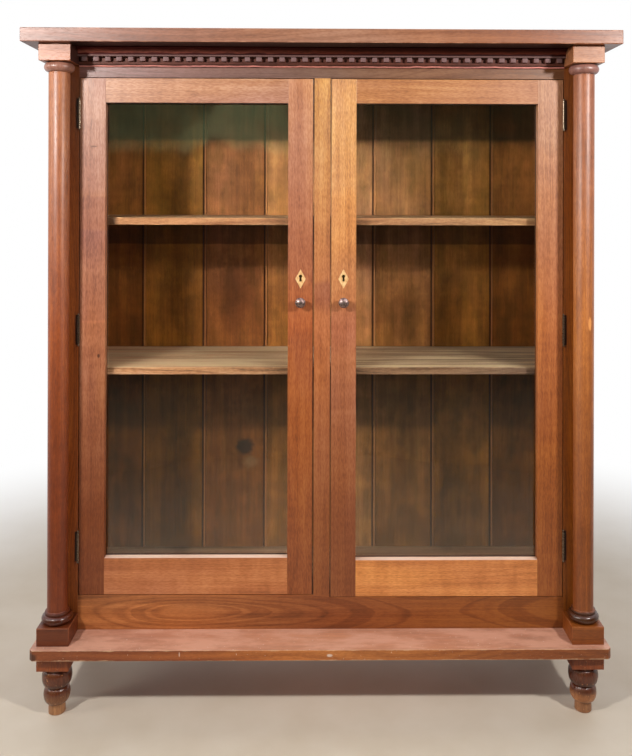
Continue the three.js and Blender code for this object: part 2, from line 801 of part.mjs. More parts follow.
function pane(side) {
  const reach = glassRebate - fitGap;
  return slab(side * (xGlassInner - reach), side * (xGlassOuter + reach), yGlassSeat + fitGap,
    yGlassSeat + fitGap + glassThick, zGlassUnder - doorDrop(side) - reach, zGlassTop + reach);
}

// Glazing beads: four strips pinned behind the glass, modelled as one frame
function glazingBeads(side) {
  const reach = glassRebate - fitGap;
  const yBeads = yGlassSeat + glassThick + 2 * fitGap;
  const zUnder = zGlassUnder - doorDrop(side);
  const plate = solid(slab(side * (xGlassInner - reach), side * (xGlassOuter + reach), yBeads, yDoorBack,
    zUnder - reach, zGlassTop + reach));
  const opening = slab(side * xGlassInner, side * xGlassOuter, yBeads - cutOverrun, yDoorBack + cutOverrun,
    zUnder, zGlassTop);
  return cut(plate, opening);
}

for (const [label, side] of sides) {
  addPart(`${label}_door_hinge_stile`, hingeStile(side), doorWood);
  addPart(`${label}_door_lock_stile`, lockStile(side), doorWood);
  for (const [place, zUnder, zTop] of doorRails(side)) {
    addPart(`${label}_door_${place}_rail`, doorRail(side, zUnder, zTop), doorWood);
  }
  addPart(`${label}_door_glass`, pane(side), windowGlass);
  addPart(`${label}_door_glazing_beads`, glazingBeads(side), darkWood);
  addPart(`${label}_escutcheon`, escutcheon(side), bone);
  addPart(`${label}_knob`, knob(side), knobMetal);
  addPart(`${label}_lock_case`, lockCase(side), lockMetal);
  addPart(`${label}_lock_bolt`, lockBolt(side), lockMetal);
}

// Hinges: knuckles in turn belong to the case leaf and to the door leaf
const knucklePitch = hingeLength / hingeKnuckles;

// owner is 0 for the knuckles of the case leaf, first, third and fifth, and 1 for those of the door leaf
function knuckleSpans(zHinge, owner) {
  const spans = [];
  for (let i = owner; i < hingeKnuckles; i += 2) {
    const zFrom = zHinge - hingeLength / 2 + i * knucklePitch;
    spans.push([zFrom + fitGap / 2, zFrom + knucklePitch - fitGap / 2]);
  }
  return spans;
}

// towards is the side of the hinge line on which the leaf's wood lies, as a sign along X
function leafPlate(side, towards, zHinge, owner) {
  const x = side * xHinge;
  const near = x + towards * hingeLeafPart;
  const far = x + towards * (hingeLeafPart + hingeLeafThick);
  const yClear = yHinge + hingeBarrelRadius + fitGap;
  const half = hingeLength / 2;
  const pieces = [slab(near, far, yClear, yHinge + hingeLeafDepth, zHinge - half, zHinge + half)];
  for (const [z0, z1] of knuckleSpans(zHinge, owner)) {
    pieces.push(slab(near, far, yHinge, yClear + joinOverlap, z0, z1));
    pieces.push(turning(rod(hingeBarrelRadius, z0, z1), smallSides, x, yHinge));
  }
  return joined(...pieces);
}

// The pin is fast in the case leaf and carries a ball tip at each end
function pinProfile(zHinge) {
  const half = hingeLength / 2;
  const tip = half + hingeTipNeckLength;
  const upper = bead(0, hingeTipRadius, zHinge + tip, zHinge + tip + 2 * hingeTipRadius);
  const lower = bead(0, hingeTipRadius, zHinge - tip - 2 * hingeTipRadius, zHinge - tip);
  const neck = hingeTipNeckRadius;
  const overlap = joinOverlap;
  lower.pop();
  upper.shift();
  return [
    ...lower, [neck, zHinge - tip - overlap], [neck, zHinge - half + overlap],
    [hingePinRadius, zHinge - half + overlap], [hingePinRadius, zHinge + half - overlap],
    [neck, zHinge + half - overlap], [neck, zHinge + tip + overlap], ...upper,
  ];
}

function caseLeaf(side, zHinge) {
  const pin = turning(pinProfile(zHinge), smallSides, side * xHinge, yHinge);
  return leafPlate(side, side, zHinge, 0).add(solid(pin));
}

function doorLeaf(side, zHinge) {
  const reach = hingeLength / 2 + cutOverrun;
  const bore = rod(hingePinRadius + fitGap, zHinge - reach, zHinge + reach);
  return cut(leafPlate(side, -side, zHinge, 1), turning(bore, smallSides, side * xHinge, yHinge));
}

for (const [label, side] of sides) {
  for (const [place, zHinge] of zHinges) {
    addPart(`${label}_${place}_hinge_case_leaf`, caseLeaf(side, zHinge), hingeMetal);
    addPart(`${label}_${place}_hinge_door_leaf`, doorLeaf(side, zHinge), hingeMetal);
  }
}

export default bookcase;
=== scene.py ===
"""Looks of a bookcase with two glass doors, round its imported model. Metres, +Z up, front towards -Y."""

import math
import random

import bmesh
import bpy
from mathutils import Matrix, Vector


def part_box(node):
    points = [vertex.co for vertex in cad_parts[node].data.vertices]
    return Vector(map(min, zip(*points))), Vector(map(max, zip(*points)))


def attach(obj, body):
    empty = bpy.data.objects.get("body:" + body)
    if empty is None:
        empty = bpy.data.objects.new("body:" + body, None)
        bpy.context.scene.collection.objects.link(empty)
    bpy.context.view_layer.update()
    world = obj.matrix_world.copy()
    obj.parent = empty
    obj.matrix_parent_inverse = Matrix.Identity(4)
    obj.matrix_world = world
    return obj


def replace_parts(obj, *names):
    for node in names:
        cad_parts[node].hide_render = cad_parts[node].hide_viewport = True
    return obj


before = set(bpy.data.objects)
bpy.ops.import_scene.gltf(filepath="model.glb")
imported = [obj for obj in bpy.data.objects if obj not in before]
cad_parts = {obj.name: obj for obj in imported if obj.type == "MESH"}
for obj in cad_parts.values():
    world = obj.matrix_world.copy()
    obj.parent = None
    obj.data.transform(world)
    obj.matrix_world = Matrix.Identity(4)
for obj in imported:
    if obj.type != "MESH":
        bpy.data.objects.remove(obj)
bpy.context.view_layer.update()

MM = 0.001
SIDES = (("left", -1), ("right", 1))
PLACES = ("bottom", "middle", "top")
WHITE = (1.0, 1.0, 1.0, 1.0)


def mm(*values):
    """Millimetres as metres."""
    return tuple(value * MM for value in values)


# Shader nodes


class Tree:
    """A node tree, with short calls that add a node, feed its inputs and give its output."""

    def __init__(self, tree):
        self.tree = tree

    def node(self, kind, inputs=None, **settings):
        made = self.tree.nodes.new("ShaderNode" + kind)
        for key, value in settings.items():
            setattr(made, key, value)
        return self.feed(made, inputs or {})

    def feed(self, node, inputs):
        """Links the inputs of a node that are given a socket, and sets the others."""
        for key, value in inputs.items():
            if isinstance(value, bpy.types.NodeSocket):
                self.link(value, node.inputs[key])
            else:
                node.inputs[key].default_value = value
        return node

    def math(self, operation, *values):
        return self.node("Math", dict(enumerate(values)), operation=operation).outputs[0]

    def times(self, first, second):
        return self.math("MULTIPLY", first, second)

    def times_plus(self, first, second, third):
        return self.math("MULTIPLY_ADD", first, second, third)

    def vector(self, operation, *values):
        return self.node("VectorMath", dict(enumerate(values)), operation=operation).outputs[0]

    def remap(self, value, low, high, to_low=0.0, to_high=1.0):
        inputs = {0: value, 1: low, 2: high, 3: to_low, 4: to_high}
        return self.node("MapRange", inputs, interpolation_type="SMOOTHSTEP").outputs[0]

    def blend(self, share, first, second, mode="MIX"):
        inputs = {0: share, 6: first, 7: second}
        return self.node("Mix", inputs, data_type="RGBA", blend_type=mode).outputs[2]

    def noise(self, place, stretch, detail=2, roughness=0.5, output="Fac"):
        inputs = {"Vector": self.vector("MULTIPLY", place, stretch), "Scale": 1.0}
        inputs.update({"Detail": detail, "Roughness": roughness})
        return self.node("TexNoise", inputs).outputs[output]

    def ramp(self, value, stops, interpolation="LINEAR"):
        made = self.node("ValToRGB", {"Fac": value})
        made.color_ramp.interpolation = interpolation
        elements = made.color_ramp.elements
        while len(elements) < len(stops):
            elements.new(0.5)
        for element, (position, colour) in zip(elements, stops):
            element.position = position
            element.color = colour
        return made.outputs["Color"]

    def cover(self, share, strength, colour, tint):
        """The colour under a coat of tint, as thick as the share times the strength."""
        return self.blend(self.times(share, strength), colour, tint)

    def parts(self, vector):
        """The X, Y and Z of a vector."""
        return self.node("SeparateXYZ", {0: vector}).outputs

    def length(self, vector):
        return self.node("VectorMath", {0: vector}, operation="LENGTH").outputs["Value"]

    def link(self, output, target):
        self.tree.links.new(output, target)

    def bump(self, height, distance):
        return self.node("Bump", {"Height": height, "Distance": distance, "Strength": 1.0}).outputs[0]

    def surface(self, shader):
        self.link(shader.outputs[0], self.tree.nodes["Material Output"].inputs["Surface"])


def linear(*code):
    """A colour written as red, green and blue from 0 to 255, as the shader's own numbers."""
    shares = [value / 255 for value in code]
    return tuple(s / 12.92 if s <= 0.04045 else ((s + 0.055) / 1.055) ** 2.4 for s in shares) + (1.0,)


def new_material(name):
    """A material with its tree, its Principled shader and a point's place in the object's own axes."""
    material = bpy.data.materials.new(name)
    material.use_nodes = True
    tree = Tree(material.node_tree)
    return material, tree, tree.tree.nodes["Principled BSDF"], tree.node("TexCoord").outputs["Object"]


def group_tree(name, inputs, outputs):
    """A node group with its named sockets, and its input and output nodes."""
    group = bpy.data.node_groups.new(name, "ShaderNodeTree")
    for socket, kind in inputs.items():
        group.interface.new_socket(socket, in_out="INPUT", socket_type="NodeSocket" + kind)
    for socket in outputs:
        group.interface.new_socket(socket, in_out="OUTPUT", socket_type="NodeSocketFloat")
    given = group.nodes.new("NodeGroupInput").outputs
    return group, Tree(group), given, group.nodes.new("NodeGroupOutput").inputs


# The figure of wood: stretch, detail and roughness of each noise, and the range of it that is spread out
FIGURE = {
    "Streak": ((1.7, 48, 48), 2, 0.5, 0.3, 0.7),
    "Fibre": ((5, 260, 260), 3, 0.6, 0.28, 0.72),
    "Fleck": ((95, 480, 480), 2, 0.5, 0.38, 0.66),
    "Pore": ((70, 1250, 1250), 1.0, 0.5, 0.58, 0.7),
    "Mottle": ((2.6, 9, 9), 3, 0.5, 0.32, 0.68),
    "Curl": ((34, 8, 8), 2, 0.5, 0.3, 0.7),
}
SEED_STEPS = (3.1, 1.7, 2.3)
RING_RIPPLE = 3 * MM


def wood_figure():
    """The figure of sawn wood. Place is (along the grain, across, deep). Outputs run from 0 to 1."""
    inputs = {"Place": "Vector", "Seed": "Float", "Pith": "Vector", "Rings": "Float", "Wander": "Float"}
    group, tree, given, result = group_tree("wood_figure", inputs, ("Ring", *FIGURE))
    shift = {i: tree.times(given["Seed"], step) for i, step in enumerate(SEED_STEPS)}
    place = tree.vector("ADD", given["Place"], tree.node("CombineXYZ", shift).outputs[0])
    drift = tree.noise(place, (1.3, 3, 3), 1.0, output="Color")
    drift = tree.vector("SUBTRACT", drift, (0.5, 0.5, 0.5))
    drift = tree.node("VectorMath", {0: drift, "Scale": given["Wander"]}, operation="SCALE").outputs[0]
    centred = tree.vector("SUBTRACT", tree.vector("ADD", given["Place"], drift), given["Pith"])
    radius = tree.length(tree.vector("MULTIPLY", centred, (0.0, 1.0, 1.0)))
    ripple = tree.math("SUBTRACT", tree.noise(place, (7, 45, 45), 2), 0.5)
    years = tree.times(tree.times_plus(ripple, RING_RIPPLE, radius), given["Rings"])
    spacing = {"W": tree.times(years, 0.31), "Detail": 1.0}
    spacing = tree.node("TexNoise", spacing, noise_dimensions="1D").outputs["Fac"]
    year = tree.math("FRACT", tree.times_plus(spacing, 2.6, years))
    late = tree.times(tree.remap(year, 0.3, 0.86), tree.remap(year, 1.0, 0.88))
    tree.link(late, result["Ring"])
    for part, (stretch, detail, roughness, low, high) in FIGURE.items():
        tree.link(tree.remap(tree.noise(place, stretch, detail, roughness), low, high), result[part])
    return group


def edge_distance():
    """How far a point on a box-shaped board is from the board's nearest edge, in metres."""
    inputs = {"Place": "Vector", "Low": "Vector", "High": "Vector"}
    group, tree, given, result = group_tree("edge_distance", inputs, ("Distance",))
    below = tree.vector("ABSOLUTE", tree.vector("SUBTRACT", given["Place"], given["Low"]))
    above = tree.vector("ABSOLUTE", tree.vector("SUBTRACT", given["High"], given["Place"]))
    near = tree.parts(tree.vector("MINIMUM", below, above))
    smaller = tree.math("MINIMUM", near[0], near[1])
    larger = tree.math("MAXIMUM", near[0], near[1])
    second = tree.math("MAXIMUM", smaller, tree.math("MINIMUM", larger, near[2]))
    tree.link(second, result["Distance"])
    return group


WOOD_FIGURE = wood_figure()
EDGE_DISTANCE = edge_distance()

# Woods: the colours of the dark, middle and pale grain, and how strongly each part of the figure shows


class Wood:
    """One kind of wood, its figure and its polish. cool is the tint that it takes on in broad patches."""

    def __init__(self, dark, middle, pale, cool=(0.9, 0.98, 1.16), rings=110, wander=0.07, ring=0.16,
                 streak=0.24, fibre=0.16, fleck=0.2, curl=0.06, pore=0.3, gloss=0.44, coat=0.1, shine=0.5):
        self.stops = list(zip((0.08, 0.5, 0.92), (linear(*code) for code in (dark, middle, pale))))
        self.cool = (*cool, 1.0)
        self.rings, self.wander = rings, wander
        self.shares = {"Ring": -ring, "Streak": streak, "Fibre": fibre, "Fleck": -fleck, "Curl": curl}
        self.pore, self.gloss, self.coat, self.shine = pore, gloss, coat, shine


CASE_BROWNS = (88, 42, 22), (140, 76, 44), (176, 106, 68)
CASE_WOOD = Wood(*CASE_BROWNS, fleck=0.14, pore=0.2)
ARCHED_WOOD = Wood(*CASE_BROWNS, rings=80, wander=0.16, ring=0.2, fleck=0.1, pore=0.2)
DOOR_WOOD = Wood((118, 60, 34), (180, 106, 64), (214, 144, 98), (0.86, 0.84, 1.06), ring=0.08, streak=0.16,
                 curl=0.1)
# RAIL_WOOD is paler than DOOR_WOOD partly as painted sheen: horizontal grain reflects more of the light
# from above.
RAIL_WOOD = Wood((146, 82, 42), (194, 118, 66), (226, 154, 98), (0.86, 0.82, 0.96), ring=0.1, streak=0.18,
                 curl=0.14, fleck=0.16, pore=0.2)
TURNED_WOOD = Wood((70, 32, 20), (120, 64, 40), (158, 94, 62), (0.86, 0.82, 0.84), rings=150, ring=0.06,
                   streak=0.14, fleck=0.12, gloss=0.46)
MOULDING_WOOD = Wood((30, 8, 5), (50, 16, 10), (70, 26, 18), gloss=0.5, coat=0.0, shine=0.15)
SHELF_WOOD = Wood((104, 70, 44), (168, 118, 80), (206, 160, 120), ring=0.3, streak=0.4, gloss=0.6, coat=0.0,
                  shine=0.3)
BACK_WOOD = Wood((62, 34, 14), (116, 70, 34), (152, 98, 54), (0.7, 0.66, 0.45), ring=0.05, streak=0.16,
                 fibre=0.08, fleck=0.06, curl=0.08, gloss=0.6, coat=0.0, shine=0.15)
PLAIN = ((1.0, 1.0, 1.0),) * 3
TINT_SHARES = (0.15, 0.52, 0.88)
# How much rougher or smoother the parts of a surface are
MOTTLE_ROUGHNESS, PORE_ROUGHNESS, WORN_ROUGHNESS, COAT_ROUGHNESS = 0.12, 0.25, 0.15, 0.3
RING_POLISH, CAP_POLISH = 0.24, 0.08
WOOD_RELIEF = 0.12 * MM


def seeded(name):
    return random.Random("bookcase " + name)


def tinted(tree, colour, tint):
    return tree.blend(1.0, colour, tint, "MULTIPLY")


def wood_material(name, wood, axes, pith=None, marks=(), wear=0.0, raw=None, tints=PLAIN, split=None,
                  polished=()):
    """Wood for one piece. axes orders X, Y and Z as along, across and deep. pith is (across, deep) from the
    middle. tints are those of its low end, middle and high end along the grain. split tells boards apart.
    polished lists spans of height that kept their gloss, each with how much smoother it is."""
    chance = seeded(name)
    low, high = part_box(name)
    if pith is None:
        pith = (chance.uniform(-60, 60) * MM, chance.uniform(40, 110) * MM)
    material, tree, shader, place = new_material(name)
    centred = tree.parts(tree.vector("SUBTRACT", place, tuple((low + high) / 2)))
    order = ["XYZ".index(axis) for axis in axes]
    grain = tree.node("CombineXYZ", {i: centred[axis] for i, axis in enumerate(order)}).outputs[0]
    if split:
        grain = tree.vector("ADD", grain, tree.vector("MULTIPLY", split(tree, place), (0.0, 0.3, 0.1)))
    inputs = {"Place": grain, "Seed": chance.uniform(1, 50), "Pith": (0, *pith)}
    inputs.update({"Rings": wood.rings, "Wander": wood.wander})
    figure = tree.node("Group", inputs, node_tree=WOOD_FIGURE).outputs
    tone = chance.uniform(-0.04, 0.04) + 0.5
    for part, share in wood.shares.items():
        tone = tree.times_plus(figure[part], share, tone)
    tone = tree.math("SUBTRACT", tone, sum(wood.shares.values()) / 2)
    colour = tree.ramp(tone, wood.stops)
    colour = tree.blend(figure["Mottle"], colour, tinted(tree, colour, wood.cool))
    along = tree.times_plus(centred[order[0]], 1 / (high - low)[order[0]], 0.5)
    stops = [(at, (*tint, 1.0)) for at, tint in zip(TINT_SHARES, tints)]
    colour = tinted(tree, colour, tree.ramp(along, stops))
    pores = tree.times(figure["Pore"], wood.pore)
    colour = tree.blend(pores, colour, wood.stops[0][1])
    for mark in marks:
        colour = mark(tree, place, colour)
    smoothest = wood.gloss - MOTTLE_ROUGHNESS / 2
    rough = tree.times_plus(figure["Mottle"], MOTTLE_ROUGHNESS, smoothest)
    rough = tree.times_plus(pores, PORE_ROUGHNESS, rough)
    for span_low, span_high, smoother in polished:
        level = tree.parts(place)[2]
        above = tree.math("GREATER_THAN", level, span_low)
        inside = tree.times(above, tree.math("LESS_THAN", level, span_high))
        rough = tree.times_plus(inside, -smoother, rough)
    if wear:
        colour, rough = worn_edges(tree, place, (low, high), colour, rough, wear, raw or wood.stops[2][1])
    height = tree.times_plus(figure["Pore"], -0.6, figure["Fibre"])
    tree.feed(shader, {"Base Color": colour, "Roughness": rough, "Normal": tree.bump(height, WOOD_RELIEF)})
    tree.feed(shader, {"Specular IOR Level": wood.shine, "Coat Weight": wood.coat})
    tree.feed(shader, {"Coat Roughness": COAT_ROUGHNESS})
    return material


def worn_edges(tree, place, box, colour, rough, wear, raw):
    """Rubbed arrises: paler and duller wood along the edges of a board, in patches."""
    nearness = tree.node("Group", {"Place": place, "Low": box[0], "High": box[1]}, node_tree=EDGE_DISTANCE)
    narrow, wide = 0.3 * MM, 4.5 * wear * MM
    reach = tree.remap(tree.noise(place, (24, 24, 24), 4, 0.65), 0.42, 0.75, narrow, wide)
    share = tree.math("DIVIDE", nearness.outputs[0], reach)
    rubbed = tree.times(tree.remap(share, 1.2, 0.5), min(1.0, 0.75 * wear))
    return tree.blend(rubbed, colour, raw), tree.times_plus(rubbed, WORN_ROUGHNESS, rough)


def kind_of_mark(paint):
    """Lets a kind of mark be given its own values first, and be painted on a colour later."""
    return lambda *own, **named: lambda tree, place, colour: paint(tree, place, colour, *own, **named)


@kind_of_mark
def spot(tree, place, colour, centre, radii, tint, strength=0.8, soft=0.6):
    """A mark on one place of the wood, such as a knot or a stain, as an ellipsoid with a ragged edge."""
    reach = tree.length(tree.vector("DIVIDE", tree.vector("SUBTRACT", place, centre), radii))
    ragged = tree.math("SUBTRACT", tree.noise(place, (90, 90, 90), 3), 0.5)
    reach = tree.times_plus(ragged, 0.7, reach)
    return tree.cover(tree.remap(reach, 1.0, 1.0 - soft), strength, colour, tint)


def side_by_side(joints, half, colours):
    """One colour for each of the boards that stand between the joints, from -X to +X."""

    def choose(tree, place):
        across = tree.parts(place)[0]
        share = tree.times_plus(across, 1 / (2 * half), 0.5)
        starts = [0.0] + [0.5 + joint / (2 * half) for joint in joints]
        return tree.ramp(share, list(zip(starts, colours)), "CONSTANT")

    return choose


@kind_of_mark
def board_tints(tree, place, colour, choose):
    return tinted(tree, colour, choose(tree, place))


@kind_of_mark
def upright_lines(tree, place, colour, places, half_width, tint, strength):
    """Lines up and down a surface, such as dark joints, at places along X."""
    wander = tree.math("SUBTRACT", tree.noise(place, (5, 5, 5), 2), 0.5)
    across = tree.times_plus(wander, half_width, tree.parts(place)[0])
    nearest = 1.0
    for line in places:
        away = tree.math("ABSOLUTE", tree.math("SUBTRACT", across, line))
        nearest = tree.math("MINIMUM", away, nearest)
    return tree.cover(tree.remap(nearest, half_width * 1.5, half_width * 0.6), strength, colour, tint)


@kind_of_mark
def dust(tree, place, colour, level, tint, strength, grain=(4, 18, 18), least=0.75):
    """Dust and dulled polish on a face that looks up at the given height, thinner in streaks or patches."""
    thickness = tree.remap(tree.noise(place, grain, 4, 0.65), 0.36, 0.64, least, 1.0)
    upper_face = tree.remap(tree.parts(place)[2], level - 0.8 * MM, level - 0.1 * MM)
    return tree.cover(tree.times(upper_face, strength), thickness, colour, tint)


@kind_of_mark
def patch(tree, place, colour, centre, halves, tint, strength, soft=0.8 * MM):
    """A mark with straight sides, such as painted shade along a gap or under a board."""
    away = tree.vector("ABSOLUTE", tree.vector("SUBTRACT", place, centre))
    outside = tree.parts(tree.vector("SUBTRACT", away, halves))
    reach = tree.math("MAXIMUM", tree.math("MAXIMUM", outside[0], outside[1]), outside[2])
    return tree.cover(tree.remap(reach, soft, -soft), strength, colour, tint)


@kind_of_mark
def cross_band(tree, place, colour, low, high, tint, strength=1.0, soft=(3, 3), rear=None):
    """A band that is tinted across upright grain, between two heights. soft is how many millimetres its low
    and its high end fade over, to each side. rear is the depth that it reaches to."""
    soft_low, soft_high = mm(*soft)
    part = tree.parts(place)
    wander = tree.math("SUBTRACT", tree.noise(place, (22, 22, 4), 2), 0.5)
    height = tree.times_plus(wander, 6 * MM, part[2])
    above = tree.remap(height, low - soft_low, low + soft_low)
    share = tree.times(above, tree.remap(height, high + soft_high, high - soft_high))
    if rear is not None:
        share = tree.times(share, tree.math("LESS_THAN", part[1], rear))
    return tree.cover(share, strength, colour, tinted(tree, colour, (*tint, 1.0)))


@kind_of_mark
def clouds(tree, place, colour, tint, strength, stretch):
    """Broad soft patches that are tinted."""
    share = tree.remap(tree.noise(place, stretch, 3, 0.6), 0.42, 0.62)
    return tree.cover(share, strength, colour, tinted(tree, colour, (*tint, 1.0)))


@kind_of_mark
def specks(tree, place, colour, tint, strength, size=4 * MM, rarity=0.74):
    """Small pale spots, such as splashes of paint or plaster."""
    grain = tree.noise(place, (1 / size,) * 3, 1.0)
    return tree.cover(tree.remap(grain, rarity, rarity + 0.03), strength, colour, tint)


# Meshes
SHARP_ANGLE = math.radians(38)
BEAD_STEPS = 20


def new_object(name, data):
    made = bpy.data.objects.new(name, data)
    bpy.context.scene.collection.objects.link(made)
    return made


def piece(name, shape, body, slot, material):
    """A new piece of the bookcase that rides on a body, smooth except at sharp edges."""
    data = bpy.data.meshes.new(name)
    data.from_pydata(shape.vertices, [], shape.faces)
    data.validate()
    data.update()
    made = new_object(name, data)
    data.materials.append(material)
    data.shade_smooth()
    data.set_sharp_from_angle(angle=SHARP_ANGLE)
    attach(made, body)
    return made


def stand_in(node, ending, *rest):
    """A piece shown in place of a CAD node."""
    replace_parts(piece(f"{node}_{ending}", *rest), node)


class Shape:
    """Vertices and faces gathered from several closed forms."""

    def __init__(self):
        self.vertices = []
        self.faces = []

    def add(self, vertices, faces):
        start = len(self.vertices)
        self.vertices.extend(vertices)
        self.faces.extend([tuple(start + i for i in face) for face in faces])
        return self

    def turned(self, profile, centre, segments=96, front=False):
        """A turning of (radius, height) points, from axis to axis. front lays its axis towards -Y."""
        vertices = []
        faces = []
        rings = []
        for radius, height in profile:
            count = 1 if radius == 0 else segments
            rings.append((len(vertices), count))
            for i in range(count):
                angle = 2 * math.pi * i / segments
                point = Vector((radius * math.cos(angle), radius * math.sin(angle), height))
                if front:
                    point = Vector((point.x, -point.z, point.y))
                vertices.append(tuple(point + Vector(centre)))
        for (start, count), (above, next_count) in zip(rings, rings[1:]):
            for i in range(segments):
                j = (i + 1) % segments
                if count == 1:
                    faces.append((start, above + j, above + i))
                elif next_count == 1:
                    faces.append((start + i, start + j, above))
                else:
                    faces.append((start + i, start + j, above + j, above + i))
        return self.add(vertices, faces)

    def block(self, low, high, chamfer=0.0):
        """A box with small flats along its edges."""
        low, high = Vector(low), Vector(high)
        solid = bmesh.new()
        bmesh.ops.create_cube(solid, size=1)
        for vertex in solid.verts:
            for axis in range(3):
                vertex.co[axis] = low[axis] if vertex.co[axis] < 0 else high[axis]
        if chamfer:
            edges = list(solid.edges)
            bmesh.ops.bevel(solid, geom=edges, offset=chamfer, segments=2, affect="EDGES", profile=0.5)
        bmesh.ops.recalc_face_normals(solid, faces=solid.faces)
        solid.verts.index_update()
        vertices = [tuple(vertex.co) for vertex in solid.verts]
        faces = [tuple(vertex.index for vertex in face.verts) for face in solid.faces]
        solid.free()
        return self.add(vertices, faces)

    def prism(self, outline, low, high, lay):
        """A prism over an anticlockwise outline of (u, v), between two heights. lay places a point."""
        count = len(outline)
        vertices = [lay(u, v, height) for height in (low, high) for u, v in outline]
        faces = [(i, (i + 1) % count, count + (i + 1) % count, count + i) for i in range(count)]
        faces.append(tuple(range(count))[::-1])
        faces.append(tuple(range(count, 2 * count)))
        return self.add(vertices, faces)


def arc(centre, radii, start, end, steps):
    """Points of an elliptical arc, from one angle to another in degrees."""
    points = []
    for i in range(steps + 1):
        angle = math.radians(start + (end - start) * i / steps)
        points.append((centre[0] + radii[0] * math.cos(angle), centre[1] + radii[1] * math.sin(angle)))
    return points


def bead(core, full, z0, z1):
    """A rounded ring of a turned profile that swells from radius core to radius full."""
    return arc((core, (z0 + z1) / 2), (full - core, (z1 - z0) / 2), -90, 90, BEAD_STEPS)


def soften(name, width):
    """Rounds the edges of a CAD node with modifiers, which leave its own mesh as it is."""
    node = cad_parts[name]
    weld = node.modifiers.new("weld", "WELD")
    weld.merge_threshold = 0.005 * MM
    flat = node.modifiers.new("flat", "DECIMATE")
    flat.decimate_type = "DISSOLVE"
    flat.angle_limit = math.radians(0.5)
    bevel = node.modifiers.new("bevel", "BEVEL")
    bevel.width = width
    bevel.segments = 2
    bevel.limit_method = "ANGLE"
    bevel.angle_limit = math.radians(30)


def dress(name, material):
    """Gives a CAD node its material."""
    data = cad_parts[name].data
    data.materials.clear()
    data.materials.append(material)


# Boards: the wood, the order of the axes as (along, across, deep), and the softness of the edges
THIN_ARRIS, ARRIS, BLOCK_ARRIS, BOARD_ARRIS = mm(0.4, 0.7, 1.2, 1.5)


def board(name, wood, axes, arris=ARRIS, **options):
    dress(name, wood_material(name, wood, axes, **options))
    soften(name, arris)


def all_over(*tint):
    return (tint,) * 3


# Painted shade for the dark lines along gaps and under rails.
GAP_SHADE = linear(34, 8, 6)
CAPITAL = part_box("left_capital_block")
X_BLOCK = -CAPITAL[1].x
X_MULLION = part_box("centre_mullion")[1].x
Y_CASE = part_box("frieze_rail")[0].y
Z_TOP_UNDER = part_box("top_board")[0].z
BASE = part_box("base_board")
BASE_TOP = BASE[1].z
# A mark on the front of a door or stile reaches this far to each side of its face
MARK_DEPTH = 20 * MM


def gap_line(x, strength):
    """Painted shade: the dark line along the edge of a door, where its gap is."""
    middle, half_height, half_width = 0.85, 0.8, 0.9 * MM
    return patch((x, Y_CASE, middle), (half_width, MARK_DEPTH, half_height), GAP_SHADE, strength)


def base_spot(x, below, radii, tint, strength):
    """A mark on the front of the base board, such as a nick or a dark patch, its place in millimetres
    across and below the top.
    """
    return spot((x * MM, BASE[0].y, BASE_TOP - below * MM), mm(*radii), tint, strength)


# Painted shade: the underside of the top board between the capital blocks is painted nearly black.
UNDERSIDE_SHADE = patch((0, Y_CASE, Z_TOP_UNDER), (X_BLOCK, -Y_CASE * 0.8, 1 * MM), linear(22, 3, 2), 0.97)
# The tints of the boards below are partly the wood's own tone and partly painted light: bluer, paler tints,
# as on the top board and the frieze rail, are painted sheen, and darker ends are painted shade.
board("top_board", CASE_WOOD, "XYZ", BOARD_ARRIS, wear=0.6, raw=linear(206, 150, 120), marks=[UNDERSIDE_SHADE],
      tints=((0.72, 0.91, 1.42), (0.98, 1.43, 1.95), (0.6, 0.54, 0.36)))
board("frieze_rail", CASE_WOOD, "XZY", tints=((0.58, 0.83, 1.8), (0.47, 0.77, 1.26), (0.65, 0.84, 0.83)))
board("base_rail", ARCHED_WOOD, "XZY", pith=mm(-10, 46),
      tints=((1.68, 1.86, 1.31), (0.96, 0.83, 0.49), (0.98, 0.95, 0.4)))
board("centre_mullion", DOOR_WOOD, "ZXY", tints=((0.62, 0.54, 0.31), (1.02, 0.97, 0.71), (1.06, 1.5, 1.17)),
      marks=[gap_line(-X_MULLION, 0.95), gap_line(X_MULLION, 0.6),
             cross_band(0.925, 0.985, (0.72, 0.66, 0.9), 0.8, (25, 8))])
NICK = linear(236, 214, 200)
board("base_board", CASE_WOOD, "XYZ", BOARD_ARRIS, wear=0.75, raw=linear(226, 188, 150),
      tints=((0.9, 0.7, 0.4), (1.75, 1.77, 0.92), (0.94, 0.83, 0.42)),
      marks=[dust(BASE_TOP, linear(224, 170, 146), 0.9, (9, 26, 26), 0.55),
             specks(linear(236, 222, 210), 0.9),
             base_spot(19, 12, (8, 6, 4), NICK, 0.8),
             base_spot(-318, 9, (2, 6, 7), NICK, 0.7),
             # Painted shade: a dark patch near the left end.
             base_spot(-650, 16, (16, 20, 14), linear(50, 22, 12), 0.8)])
board("bottom_board", SHELF_WOOD, "XYZ", tints=all_over(0.5, 0.45, 0.45))
UPPER_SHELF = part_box("upper_shelf")
# Painted shadow of the left door stile on the left end of the upper shelf's front.
SHELF_END_SHADOW = patch((-550 * MM, UPPER_SHELF[0].y, UPPER_SHELF[0].z), mm(58, 8, 28), linear(60, 32, 18), 0.75,
                  6 * MM)
for name, tints, dusty, more in (
        ("lower_shelf", ((0.98, 0.84, 0.88), (0.54, 0.46, 0.44), (0.24, 0.22, 0.28)), 0.85, []),
        ("upper_shelf", ((0.6, 0.43, 0.37), (0.6, 0.44, 0.38), (0.64, 0.54, 0.46)), 0.4, [SHELF_END_SHADOW])):
    worn_top = dust(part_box(name)[1].z, linear(182, 152, 126), dusty, (2.5, 50, 50), 0.1)
    board(name, SHELF_WOOD, "XYZ", BLOCK_ARRIS, wear=0.5, tints=tints, marks=[worn_top, *more])
